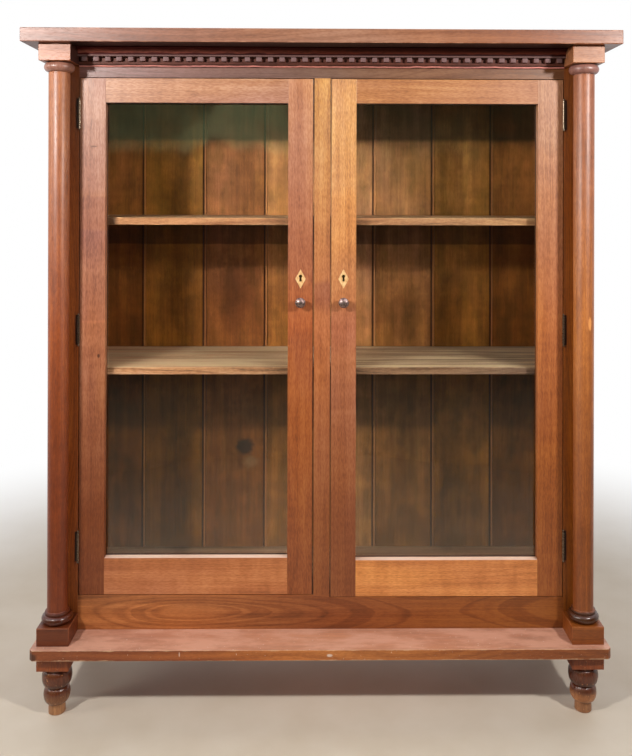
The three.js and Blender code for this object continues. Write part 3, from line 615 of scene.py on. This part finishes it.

# Back boards: the tone of each board, bands of painted shadow under the top and under the upper shelf, and
# marks on their inner face
INSIDE_HALF = -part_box("left_side_panel")[1].x
BACK_JOINT_SHARES = (-0.79, -0.524, -0.253, -0.013, 0.2265, 0.487, 0.748)
BACK_JOINTS = [share * INSIDE_HALF for share in BACK_JOINT_SHARES]
BACK_TINTS = [(1.02, 0.77, 0.42), (1.3, 1.13, 0.45), (1.22, 0.97, 0.88), (1.51, 1.4, 1.28),
              (1.55, 1.59, 2.2), (1.23, 1.18, 1.19), (1.57, 1.49, 0.87), (1.04, 0.85, 0.5)]
# BACK_HEIGHTS is partly the boards' tone and partly painted light: the upper end is paler and greyer as
# painted reflection.
BACK_HEIGHTS = ((0.81, 0.85, 0.71), (0.93, 0.92, 1.0), (1.36, 1.72, 3))
BACK_MIDDLE = (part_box("back_boards_1")[0].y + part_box("back_boards_1")[1].y) / 2
SHELF_UNDER = UPPER_SHELF[0].z
TOP_SHADOW_BAND = (1.338, 1.6)
SHELF_SHADOW_BAND = (SHELF_UNDER - 62 * MM, SHELF_UNDER)
chance = seeded("back boards")
BACK_PLACES = [(chance.random(), chance.random(), chance.random(), 1.0) for tint in BACK_TINTS]
BACK_MARKS = [
    board_tints(side_by_side(BACK_JOINTS, INSIDE_HALF, [(*tint, 1.0) for tint in BACK_TINTS])),
    clouds((0.74, 0.78, 0.7), 0.9, (26, 26, 9)),
    clouds((1.35, 1.4, 1.3), 0.8, (16, 16, 12)),
    # Painted highlight: a pale line beside each joint, where the edge of a board catches the light.
    upright_lines([joint + 5 * MM for joint in BACK_JOINTS], 1.3 * MM, linear(170, 112, 76), 0.5),
    upright_lines(BACK_JOINTS, 2.2 * MM, linear(52, 12, 4), 0.92),
    # Painted shadows: a dark band under the top and one under the upper shelf.
    cross_band(*TOP_SHADOW_BAND, (0.3, 0.28, 0.3), 0.9, (8, 3), BACK_MIDDLE),
    cross_band(*SHELF_SHADOW_BAND, (0.42, 0.4, 0.44), 0.9, (2, 3), BACK_MIDDLE),
    spot(mm(-240, 196, 935), mm(90, 12, 140), linear(74, 30, 8), 0.6, 0.9),
    spot(mm(-208, 196, 503), mm(30, 60, 29), linear(36, 26, 28), 0.85, 0.6),
    spot(mm(-192, 196, 462), mm(30, 60, 22), linear(150, 116, 84), 0.35, 0.8),
]
for number in range(1, 5):
    board(f"back_boards_{number}", BACK_WOOD, "ZXY", THIN_ARRIS, marks=BACK_MARKS, tints=BACK_HEIGHTS,
          split=side_by_side(BACK_JOINTS, INSIDE_HALF, BACK_PLACES))

# Pieces that come left and right: their tints, and their marks by height in metres
# These tints are partly the wood's own tone and partly painted light: paler, bluer tints, mostly at the
# upper ends of stiles, rails and columns and on the capital blocks, are painted sheen and highlight; darker
# lower ends and the darker top of the left face stile are painted shade.
TINTS = {
    "left_face_stile": ((1.05, 0.8, 0.24), (1.15, 0.9, 0.27), (0.62, 0.5, 0.24)),
    "right_face_stile": ((1.03, 0.93, 0.2), (1.14, 1.0, 0.21), (0.9, 0.8, 0.25)),
    "left_plinth_block": all_over(0.42, 0.26, 0.12),
    "right_plinth_block": all_over(0.95, 0.79, 0.22),
    "left_capital_block": all_over(1.1, 1.2, 1.2),
    "right_capital_block": all_over(1.12, 1.4, 1.36),
    "left_door_hinge_stile": ((0.47, 0.34, 0.18), (0.92, 1.0, 1.07), (0.74, 0.99, 1.42)),
    "right_door_hinge_stile": ((0.7, 0.59, 0.26), (0.97, 0.89, 0.48), (0.83, 1.13, 1.31)),
    "left_door_lock_stile": ((0.68, 0.56, 0.31), (0.84, 0.67, 0.39), (0.9, 1.12, 1.26)),
    "right_door_lock_stile": ((0.55, 0.46, 0.3), (1.02, 1.09, 1.09), (1.21, 1.77, 1.6)),
    "left_door_top_rail": all_over(0.81, 1.11, 1.51),
    "right_door_top_rail": all_over(0.85, 1.06, 0.98),
    "left_door_bottom_rail": all_over(0.94, 0.91, 0.94),
    "right_door_bottom_rail": all_over(1.3, 1.39, 1.12),
    "left_column": ((0.89, 0.54, 0.19), (1.5, 1.14, 0.42), (1.5, 1.8, 1.7)),
    "right_column": ((1.44, 1.4, 0.58), (2.2, 2.5, 1.15), (1.84, 2.35, 2.6)),
}
INNER_CORNER = (CAPITAL[1].x, CAPITAL[1].y, CAPITAL[0].z)
MARKS = {
    # Painted shade: the inner side of the left capital block is painted nearly black.
    "left_capital_block": [patch(INNER_CORNER, mm(1, 200, 100), linear(36, 8, 4), 0.96)],
    "left_door_hinge_stile": [
        cross_band(1.105, 1.19, (1.1, 1.06, 0.8), 0.8, (4, 20)),
        cross_band(1.05, 1.183, (0.74, 0.64, 0.78), 0.7, (50, 4)),
        cross_band(0.888, 0.894, (1.3, 1.3, 1.3), 0.6),
        cross_band(0.89, 0.985, (0.86, 0.82, 0.9), 0.5, (5, 20)),
        spot((-0.5375, Y_CASE, 1.302), mm(9, 8, 2.5), linear(96, 58, 40), 0.8),
        spot((-0.525, Y_CASE, 0.809), mm(4, 8, 6), linear(60, 24, 12), 0.8),
    ],
    "left_door_lock_stile": [
        gap_line(-X_MULLION - 2 * MM, 0.9),
        cross_band(0.86, 0.99, (1.16, 1.1, 0.86), 0.7, (20, 30)),
        spot((-0.037, Y_CASE, 0.985), mm(9, 8, 16), linear(206, 132, 86), 0.35, 0.8),
    ],
    "right_door_lock_stile": [
        gap_line(X_MULLION + 2 * MM, 0.5),
        cross_band(0.82, 0.925, (0.84, 0.76, 0.95), 0.8, (40, 20)),
        cross_band(1.05, 1.2, (1.1, 1.04, 0.84), 0.6, (30, 20)),
    ],
    "right_door_hinge_stile": [
        cross_band(1.15, 1.3, (1.1, 1.04, 0.86), 0.5, (40, 30)),
        cross_band(0.6, 0.72, (0.88, 0.82, 0.9), 0.6, (20, 30)),
    ],
}
PAIRS = (
    ("face_stile", CASE_WOOD, "ZXY", ARRIS, 0),
    ("side_panel", CASE_WOOD, "ZYX", ARRIS, 0),
    ("capital_block", CASE_WOOD, "XZY", BLOCK_ARRIS, 0.5),
    ("plinth_block", CASE_WOOD, "XZY", BLOCK_ARRIS, 0.6),
    ("door_hinge_stile", DOOR_WOOD, "ZXY", ARRIS, 0),
    ("door_lock_stile", DOOR_WOOD, "ZXY", ARRIS, 0),
    ("door_top_rail", DOOR_WOOD, "XZY", ARRIS, 0),
    ("door_bottom_rail", RAIL_WOOD, "XZY", ARRIS, 0),
    ("door_glazing_beads", MOULDING_WOOD, "ZXY", THIN_ARRIS, 0),
)


def x_hinges(label, side):
    """Where a face stile meets its door."""
    low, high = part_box(f"{label}_face_stile")
    return low.x if side > 0 else high.x


def edge_marks(label, side):
    """Dust and painted light on the upper face of a door's bottom rail, the shadow line under its top rail
    and painted shadow beside its hinges on the face stile.
    """
    low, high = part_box(f"{label}_door_glass")
    rail_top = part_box(f"{label}_door_bottom_rail")[1].z
    under = ((low.x + high.x) / 2, Y_CASE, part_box(f"{label}_door_top_rail")[0].z)
    half = (high.x - low.x) / 2
    # Painted shadow of each hinge on the face stile.
    hinge_shadows = []
    for place in PLACES:
        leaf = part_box(f"{label}_{place}_hinge_case_leaf")
        centre = (x_hinges(label, side), Y_CASE, (leaf[0].z + leaf[1].z) / 2)
        hinge_shadows.append(patch(centre, mm(7, 20, 35), linear(22, 8, 4), 0.95, 1 * MM))
    return {
        # Dust and painted light: the upper face of the bottom rail is painted pale.
        f"{label}_door_bottom_rail": [dust(rail_top, linear(240, 208, 190), 0.9)],
        f"{label}_door_top_rail": [patch(under, (half, MARK_DEPTH, 1 * MM), GAP_SHADE, 0.9)],
        f"{label}_face_stile": hinge_shadows,
    }


for label, side in SIDES:
    MARKS.update(edge_marks(label, side))
    for tail, wood, axes, arris, wear in PAIRS:
        name = f"{label}_{tail}"
        board(name, wood, axes, arris, wear=wear, tints=TINTS.get(name, PLAIN), marks=MARKS.get(name, ()))


# Columns: one turning each, with a ring at the foot and at the head
def column(label, side):
    node = f"{label}_column"
    axis = sum(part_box(node), Vector()) / 2
    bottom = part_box(f"{label}_plinth_block")[1].z
    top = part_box(f"{label}_capital_block")[0].z
    spigot, spigot_length, shaft, lip, lip_height = mm(12, 22, 22.8, 27.5, 5.5)
    base_ring, base_height, cap_ring, cap_height, edge = mm(35, 20.5, 34, 22.5, 1.2)
    z_lip = bottom + base_height
    z_shaft = z_lip + lip_height
    z_cap = top - cap_height
    profile = [(0, bottom - spigot_length), (spigot, bottom - spigot_length), (spigot, bottom)]
    profile += bead(base_ring - base_height / 2, base_ring, bottom, z_lip)
    profile += arc((lip - edge, z_lip + edge), (edge, edge), -90, 0, 4)
    profile += arc((lip - edge, z_shaft - edge), (edge, edge), 0, 90, 4)
    profile += arc((shaft + 2 * edge, z_shaft + 2 * edge), (2 * edge, 2 * edge), 270, 180, 6)
    profile += arc((shaft, z_cap - 2 * edge), (edge, edge), 0, 90, 4)
    profile += bead(cap_ring - cap_height / 2, cap_ring, z_cap, top)
    profile += [(spigot, top), (spigot, top + spigot_length), (0, top + spigot_length)]
    shape = Shape().turned(profile, (axis.x, axis.y, 0))
    base_tint = (0.46, 0.42, 0.5) if side < 0 else (0.26, 0.26, 0.37)
    # The pale band on the cap ring is a painted highlight.
    marks = [clouds((0.74, 0.66, 0.55), 0.55, (30, 30, 14)),
             cross_band(bottom, z_shaft, base_tint, soft=(3, 1)),
             cross_band(z_cap, top, (0.82, 1.08, 1.9), soft=(1, 3))]
    if side > 0:
        stain = (axis.x + 8 * MM, axis.y - shaft, 0.895)
        marks.append(spot(stain, mm(5, 12, 18), linear(236, 158, 86), 0.75, 0.4))
    polished = [(bottom, z_lip, RING_POLISH), (z_cap, top, CAP_POLISH)]
    material = wood_material(node, TURNED_WOOD, "ZXY", mm(side * 14, 22), marks, tints=TINTS[node],
                             polished=polished)
    stand_in(node, "turned", shape, "case", "turned_wood", material)


# Feet: a square block over two flattened balls and a peg
def foot(place, label):
    node = f"{place}_{label}_foot"
    low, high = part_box(node)
    axis = (low + high) / 2
    half = (high.x - low.x) / 2
    top = BASE[0].z
    block_height, peg_height, peg, ball_height, lower_ball, upper_ball = mm(34, 24, 19, 39.5, 30, 33.7)
    waist, neck, spigot, spigot_length, edge = mm(25, 27, 12, 12, 1.5)
    z_waist = peg_height + ball_height
    z_neck = z_waist + ball_height
    z_block = top - block_height
    profile = [(0, 0), (peg - edge, 0), (peg, edge)]
    profile += bead(peg, lower_ball, peg_height, z_waist)
    profile += bead(waist, upper_ball, z_waist, z_neck)
    profile += [(neck, z_neck), (neck, z_block + edge), (0, z_block + edge)]
    shape = Shape().turned(profile, (axis.x, axis.y, 0), 64)
    shape.block((axis.x - half, axis.y - half, z_block), (axis.x + half, axis.y + half, top), BLOCK_ARRIS)
    z_spigot = top + spigot_length
    shape.turned([(0, top - edge), (spigot, top - edge), (spigot, z_spigot), (0, z_spigot)],
                 (axis.x, axis.y, 0), 32)
    bare = (1.98, 3.2, 3.1)
    rubbed = bare if label == "left" else (5, 8.4, 7.8)
    marks = [cross_band(-1 * MM, peg_height, bare, 0.9, (1, 2)),
             cross_band(peg_height + 3 * MM, peg_height + 22 * MM, rubbed, 0.7, (4, 9)),
             cross_band(peg_height, z_neck, (0.62, 0.54, 0.46), 1.0, (1, 1)),
             # Painted shade: the lowest part of the upper ball is painted darker.
             cross_band(z_waist, z_waist + 12 * MM, (0.5, 0.44, 0.4), 0.8, (1, 6)),
             cross_band(z_block, top, (1.3, 0.9, 0.2), 1.0, (0.5, 0.5)),
             specks(linear(196, 132, 84), 0.6, 7 * MM, 0.68)]
    material = wood_material(node, TURNED_WOOD, "ZXY", mm(18, 30), marks,
                             polished=[(peg_height, z_neck, RING_POLISH)])
    stand_in(node, "turned", shape, "case", "turned_wood", material)


for label, side in SIDES:
    column(label, side)
    for place in ("front", "rear"):
        foot(place, label)


def along_x(y, z, x):
    return (x, y, z)


# Cove moulding: a fillet, a small step and a hollow that runs out to a narrow lip
def cove_moulding():
    low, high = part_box("cove_moulding")
    back, front = high.y, low.y
    fillet, fillet_height, hollow_foot, lip, edge = mm(19.5, 3.4, 17.5, 2, 0.4)
    z_hollow = low.z + fillet_height
    z_lip = high.z - lip
    run = (back - front) - hollow_foot
    section = [(back, low.z), (back - fillet + edge, low.z), (back - fillet, low.z + edge)]
    section += [(back - fillet, z_hollow - edge), (back - fillet + edge, z_hollow)]
    section += arc((front, z_hollow), (run, z_lip - z_hollow), 0, 90, 20)
    section += [(front, high.z), (back, high.z)]
    shape = Shape().prism(section[::-1], low.x, high.x, along_x)
    reach = (high.x, back - low.y, fillet_height)
    # Painted light: a pale fillet as painted highlight, and a pale band in the lower part of the hollow
    # where light reaches it.
    pale = patch((0, low.y, low.z), reach, linear(98, 72, 68), 0.9, 0.3 * MM)
    band = (z_hollow + 4.5 * MM, z_hollow + 10 * MM)
    tints = ((1.5, 0.87, 1.3), (0.78, 0.26, 0.22), (0.78, 0.26, 0.22))
    material = wood_material("cove_moulding", MOULDING_WOOD, "XZY", tints=tints,
                             marks=[cross_band(*band, (5.6, 16, 12), 1.0, (1.5, 3)), pale])
    stand_in("cove_moulding", "run", shape, "case", "moulding_wood", material)


# Dentil moulding: backing, strip, quirk and bead in one section, then the row of dentils
def dentil_moulding():
    low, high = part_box("dentil_moulding")
    back = high.y
    backing, depth, band, width, edge = mm(3.5, 11, 10.5, 12, 0.4)
    strip_height, strip, quirk_height, bead_height, bead_out = mm(7, 6.2, 2, 3.5, 5.2)
    count = 42
    z_bead = low.z + bead_height
    z_quirk = z_bead + quirk_height
    z_strip = z_quirk + strip_height
    section = [(back, low.z)]
    z_middle = (low.z + z_bead) / 2
    section += arc((back - backing, z_middle), (backing - bead_out, bead_height / 2), -90, 90, 10)
    section += [(back - backing, z_quirk), (back - strip + edge, z_quirk), (back - strip, z_quirk + edge)]
    section += [(back - strip, z_strip - edge), (back - strip + edge, z_strip), (back - backing, z_strip)]
    section += [(back - backing, high.z), (back, high.z)]
    shape = Shape().prism(section[::-1], low.x, high.x, along_x)
    chance = seeded("dentils")
    pitch = (high.x - low.x) / count
    for i in range(count):
        x = low.x + pitch * (i + 1 / 2) + chance.gauss(0, 0.25) * MM
        half = width / 2 + chance.gauss(0, 0.15) * MM
        y_front = back - backing - depth + abs(chance.gauss(0, 0.2)) * MM
        shape.block((x - half, y_front, high.z - band), (x + half, back - backing / 2, high.z), 0.15 * MM)
    # Painted light: the dentil band, the front faces of the dentils and the bead below are painted paler,
    # where they catch the light.
    lower_half = (high.x, back - low.y, band / 2 + edge)
    marks = [patch((0, back, high.z - band / 2), lower_half, linear(101, 62, 53), 0.85),
             patch((0, back - backing - depth, high.z), (high.x, 2 * MM, band), linear(113, 88, 88), 0.85),
             cross_band(low.z, z_bead, (6.8, 8.8, 11.5), 1.0, (0.5, 0.5))]
    material = wood_material("dentil_moulding", MOULDING_WOOD, "XZY", marks=marks,
                             tints=all_over(2.3, 3.9, 3.8))
    stand_in("dentil_moulding", "run", shape, "case", "moulding_wood", material)


cove_moulding()
dentil_moulding()

# Metals, inlay and glass
FINE_RELIEF, PANE_WAVES = mm(0.05, 1.2)


def metal_material(name, dark, bright, rough):
    """Old metal: bright where it is rubbed, dark and duller in patches."""
    material, tree, shader, place = new_material(name)
    patches = tree.noise(place, (240, 240, 240), 4, 0.6)
    share = tree.remap(patches, 0.3, 0.7)
    fine = tree.noise(place, (900, 900, 900), 2)
    colour = tree.blend(share, linear(*dark), linear(*bright))
    rough = tree.times_plus(share, -0.18, rough + 0.1)
    height = tree.times_plus(patches, 2, fine)
    tree.feed(shader, {"Base Color": colour, "Roughness": rough, "Normal": tree.bump(height, FINE_RELIEF)})
    tree.feed(shader, {"Metallic": 1.0})
    return material


def inlay_material():
    """Bone or boxwood: cream, with faint short lines along its height."""
    material, tree, shader, place = new_material("pale_inlay")
    lines = tree.noise(place, (1500, 300, 160), 3)
    cloud = tree.noise(place, (120, 120, 120), 3)
    tone = tree.math("ADD", tree.times(lines, 0.5), tree.times(cloud, 0.5))
    stops = [(0.32, linear(196, 142, 84)), (0.52, linear(232, 188, 130)), (0.7, linear(246, 212, 160))]
    tree.feed(shader, {"Base Color": tree.ramp(tone, stops), "Normal": tree.bump(lines, FINE_RELIEF)})
    tree.feed(shader, {"Roughness": 0.38})
    return material


def glass_material():
    """Old cylinder glass: clear, faintly green, with slow waves in its surface. Lamps shine through it."""
    material, tree, shader, place = new_material("window_glass")
    waves = tree.noise(place, (7, 7, 4), 1.5)
    seeds = tree.noise(place, (60, 60, 26), 1.0)
    height = tree.times_plus(seeds, 0.004, waves)
    tree.feed(shader, {"Base Color": linear(240, 246, 240), "Roughness": 0.0, "IOR": 1.5})
    tree.feed(shader, {"Transmission Weight": 1.0, "Normal": tree.bump(height, PANE_WAVES)})
    clear = tree.node("BsdfTransparent", {"Color": linear(244, 248, 244)})
    lamp_ray = tree.node("LightPath").outputs["Is Shadow Ray"]
    tree.surface(tree.node("MixShader", {0: lamp_ray, 1: shader.outputs[0], 2: clear.outputs[0]}))
    return material


HINGE_METAL = metal_material("hinge_metal", (100, 86, 72), (140, 124, 108), 0.32)
KNOB_METAL = metal_material("knob_metal", (84, 66, 62), (168, 146, 142), 0.42)
LOCK_METAL = metal_material("lock_metal", (88, 72, 40), (150, 128, 84), 0.4)
SCREW_METAL = metal_material("screw_metal", (70, 60, 52), (150, 134, 122), 0.35)
INLAY = inlay_material()
GLASS = glass_material()
LOCK_ARRIS, INLAY_ARRIS = mm(0.5, 0.25)

for label, side in SIDES:
    dress(f"{label}_door_glass", GLASS)
    for tail, material, arris in (("escutcheon", INLAY, INLAY_ARRIS), ("lock_case", LOCK_METAL, LOCK_ARRIS),
                                  ("lock_bolt", LOCK_METAL, LOCK_ARRIS)):
        dress(f"{label}_{tail}", material)
        soften(f"{label}_{tail}", arris)


# Knobs: a rose, a hollow neck and a mushroom head, with a shank in the stile
def knob(label):
    node = f"{label}_knob"
    low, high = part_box(node)
    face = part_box(f"{label}_door_lock_stile")[0].y
    projection = face - low.y
    shank_length = high.y - face
    head = (high.x - low.x) / 2
    shank, neck, rose, gap, rose_thick = mm(3, 5, 9, 0.3, 2)
    flare, under, head_depth, rim = mm(3.5, 8.5, 9, 2.2)
    z_head = projection - head_depth
    profile = [(0, -shank_length), (shank, -shank_length), (shank, gap), (rose - gap, gap)]
    roll = rose_thick / 2
    profile += arc((rose - roll, gap + roll), (roll, roll), -60, 90, 6)
    profile += arc((neck + flare, gap + rose_thick + flare), (flare, flare), 250, 180, 6)
    profile += arc((neck + flare, z_head - flare), (flare, flare), 180, 110, 6)
    profile += [(under, z_head)]
    profile += arc((head - rim, z_head + 1.2 * rim), (rim, rim), -70, 40, 8)
    edge_radius, z_edge = profile[-1]
    steps = 14
    for i in range(1, steps):
        share = i / steps
        rise = (projection - z_edge) * (1 - (1 - share) ** 2.2)
        profile.append((edge_radius * (1 - share), z_edge + rise))
    profile.append((0, projection))
    middle = (low + high) / 2
    shape = Shape().turned(profile, (middle.x, face, middle.z), 64, front=True)
    stand_in(node, "turned", shape, f"{label}_door", "knob_metal", KNOB_METAL)


# Hinges: five knuckles, the pin with its ball tips on the case leaf, and three screws in each leaf
def hinge(label, side, place):
    case_node = f"{label}_{place}_hinge_case_leaf"
    door_node = f"{label}_{place}_hinge_door_leaf"
    low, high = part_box(door_node)
    length, barrel, thick, part, hinge_line = mm(63.5, 3, 1.4, 0.15, 1)
    gap, edge, neck, neck_length, tip = mm(0.3, 0.25, 1.7, 1.6, 2.7)
    knuckles = 5
    x = x_hinges(label, side) - side * hinge_line
    y = low.y + barrel
    z = (low.z + high.z) / 2
    y_clear = y + barrel + gap
    pitch = length / knuckles
    leaves = ((0, case_node, "case", side), (1, door_node, f"{label}_door", -side))
    for owner, node, body, towards in leaves:
        shape = Shape()
        near, far = sorted((x + towards * part, x + towards * (part + thick)))
        shape.block((near, y_clear, z - length / 2), (far, high.y, z + length / 2), edge)
        for i in range(owner, knuckles, 2):
            z0 = z - length / 2 + i * pitch + gap / 2
            z1 = z0 + pitch - gap
            ring = [(0, z0), (barrel - edge, z0), (barrel, z0 + edge)]
            ring += [(barrel, z1 - edge), (barrel - edge, z1), (0, z1)]
            shape.turned(ring, (x, y, 0), 32)
            shape.block((near, y, z0), (far, y_clear + edge, z1))
        if owner == 0:
            for sign in (-1, 1):
                end = z + sign * (length / 2 - edge)
                start = end + sign * (neck_length + edge)
                profile = [(0, end), (neck, end), (neck, start + sign * edge)]
                profile += [(r, start + sign * h) for r, h in arc((0, tip), (tip, tip), -50, 90, 14)]
                profile[-1] = (0, profile[-1][1])
                shape.turned(profile if sign > 0 else profile[::-1], (x, y, 0), 32)
        stand_in(node, "wrought", shape, body, "hinge_metal", HINGE_METAL)
        screws(f"{node}_screws", body, (x + towards * part, y, z), towards, high.y, length)


def screws(name, body, start, towards, y_back, length):
    """Three countersunk heads with a slot, flush with the face of a leaf."""
    x, y, z = start
    shape = Shape()
    for i, share in enumerate((-0.36, 0, 0.36)):
        y_screw = y + (y_back - y) * (0.52 if i != 1 else 0.72)
        turn = seeded(f"{name} {i}").uniform(0, math.pi)
        slotted_head(shape, turn, towards, Vector((x, y_screw, z + share * length)))
    piece(name, shape, body, "hinge_metal", SCREW_METAL)


def slotted_head(shape, turn, towards, centre):
    """Two half discs with a groove between them. Their faces look away from towards."""
    radius, proud, slot_half, slot_deep = mm(2.6, 0.08, 0.3, 0.5)
    angle = math.degrees(math.asin(slot_half / radius))
    turned = Matrix.Rotation(turn, 3, "Z")
    upright = Matrix(((0, 0, -towards), (0, 1, 0), (towards, 0, 0)))

    def lay(u, v, height):
        return tuple(upright @ (turned @ Vector((u, v, height))) + centre)

    for half_turn in (0, 180):
        outline = arc((0, 0), (radius, radius), angle + half_turn, 180 - angle + half_turn, 12)
        shape.prism(outline, -slot_deep, proud, lay)


for label, side in SIDES:
    knob(label)
    for place in PLACES:
        hinge(label, side, place)

# Stage: a pale floor that fades into what lies behind it, three soft lamps and a pale world
FLOOR_RADIUS = 2.6
FLOOR_SIDES = 96


def floor_material():
    material, tree, shader, place = new_material("studio_floor")
    away = tree.length(place)
    grain = tree.noise(place, (6, 6, 6), 4)
    stops = [(0.3, linear(215, 202, 183)), (0.7, linear(225, 214, 198))]
    tree.feed(shader, {"Base Color": tree.ramp(grain, stops), "Roughness": 0.6})
    white = tree.node("Emission", {"Color": WHITE, "Strength": 1.0})
    rays = tree.node("LightPath").outputs
    share = tree.times(tree.remap(away, 0.9, 2.1), rays["Is Camera Ray"])
    mix = tree.node("MixShader", {0: share, 1: shader.outputs[0], 2: white.outputs[0]})
    share = tree.times(tree.remap(away, 1.0, 2.5), rays["Is Glossy Ray"])
    clear = tree.node("BsdfTransparent")
    tree.surface(tree.node("MixShader", {0: share, 1: mix.outputs[0], 2: clear.outputs[0]}))
    return material


def studio_floor():
    data = bpy.data.meshes.new("studio_floor")
    rim = arc((0, 0), (FLOOR_RADIUS, FLOOR_RADIUS), 0, 360 - 360 / FLOOR_SIDES, FLOOR_SIDES - 1)
    data.from_pydata([(u, v, 0) for u, v in rim], [], [tuple(range(len(rim)))])
    data.materials.append(floor_material())
    new_object("studio_floor", data)


def studio_world():
    """White to the camera and through glass. Its gloss is white behind and a dim, cloudy olive in front."""
    world = bpy.data.worlds.new("studio_world")
    bpy.context.scene.world = world
    world.use_nodes = True
    tree = Tree(world.node_tree)
    background = world.node_tree.nodes["Background"]
    rays = tree.node("LightPath").outputs
    direction = tree.node("TexCoord").outputs["Generated"]
    part = tree.parts(direction)
    cloud = tree.noise(direction, (7, 7, 11), 3, 0.6)
    raised = tree.times_plus(tree.math("SUBTRACT", cloud, 0.5), 0.03, part[2])
    hazy = tree.blend(tree.remap(cloud, 0.36, 0.56), (0.36, 0.37, 0.18, 1.0), (0.74, 0.84, 0.42, 1.0))
    right_end = tree.remap(part[0], 0.02, -0.07, 0.12, 1.0)
    aside = tree.times(right_end, tree.remap(part[0], -0.22, -0.13, 0.5, 1.0))
    share = tree.times(tree.remap(raised, 0.046, 0.062), aside)
    room = tree.blend(share, (0.02, 0.015, 0.01, 1.0), hazy)
    room = tree.blend(tree.remap(part[2], -0.17, -0.28), room, (0.25, 0.24, 0.18, 1.0))
    mirrored = tree.blend(tree.remap(part[1], -0.5, 0.3), room, WHITE)
    mirrored = tree.blend(tree.remap(part[2], 0.45, 0.7), mirrored, (1.5, 1.35, 1.4, 1.0))
    ambient = tree.blend(tree.remap(part[1], -0.2, 0.6), (0.1, 0.1, 0.1, 1.0), (0.7, 0.7, 0.7, 1.0))
    direct = tree.math("LESS_THAN", rays["Diffuse Depth"], 0.5)
    colour = tree.blend(tree.times(rays["Is Glossy Ray"], direct), ambient, mirrored)
    bounces = tree.math("SUBTRACT", rays["Ray Depth"], rays["Transmission Depth"])
    through = tree.times(rays["Is Transmission Ray"], tree.math("LESS_THAN", bounces, 0.5))
    seen = tree.math("MAXIMUM", rays["Is Camera Ray"], through)
    tree.feed(background, {"Color": tree.blend(seen, colour, WHITE), "Strength": 1.0})


def lamp(name, place, target, power, size):
    data = bpy.data.lights.new(name, "AREA")
    data.shape = "DISK"
    data.size = size
    data.energy = power
    data.color = (1.0, 0.97, 0.93)
    made = new_object(name, data)
    made.location = place
    made.rotation_euler = (Vector(target) - Vector(place)).to_track_quat("-Z", "Y").to_euler()


studio_floor()
studio_world()
LAMP_HEIGHT = 1.74
for label, side, x_lamp in (("left", -1, 1.18), ("right", 1, 1.36)):
    lamp(f"{label}_lamp", (side * x_lamp, -1.4, LAMP_HEIGHT), (side * 0.3, -0.1, LAMP_HEIGHT), 32.5, 0.16)
lamp("far_lamp", (-3.7, -1.3, 2), (0.0, -0.1, 1.4), 29, 1.2)

# Camera: almost level and upright, with the horizon above the middle of the picture
PICTURE_WIDTH, PICTURE_HEIGHT = 632, 756
FOCAL_PIXELS = 830
SHIFT_PIXELS = (-12.8, -185)
SENSOR = 36
TURN_DEGREES = (90.2, -0.15, -0.65)
camera_data = bpy.data.cameras.new("camera")
camera_data.sensor_fit = "VERTICAL"
camera_data.sensor_height = SENSOR
camera_data.sensor_width = SENSOR * PICTURE_WIDTH / PICTURE_HEIGHT
camera_data.lens = SENSOR * FOCAL_PIXELS / PICTURE_HEIGHT
camera_data.shift_x, camera_data.shift_y = (shift / PICTURE_HEIGHT for shift in SHIFT_PIXELS)
camera = new_object("camera", camera_data)
camera.location = (-0.0068, -2.0745, 1.187)
camera.rotation_euler = tuple(map(math.radians, TURN_DEGREES))
bpy.context.scene.camera = camera
bpy.context.scene.view_settings.view_transform = "Standard"
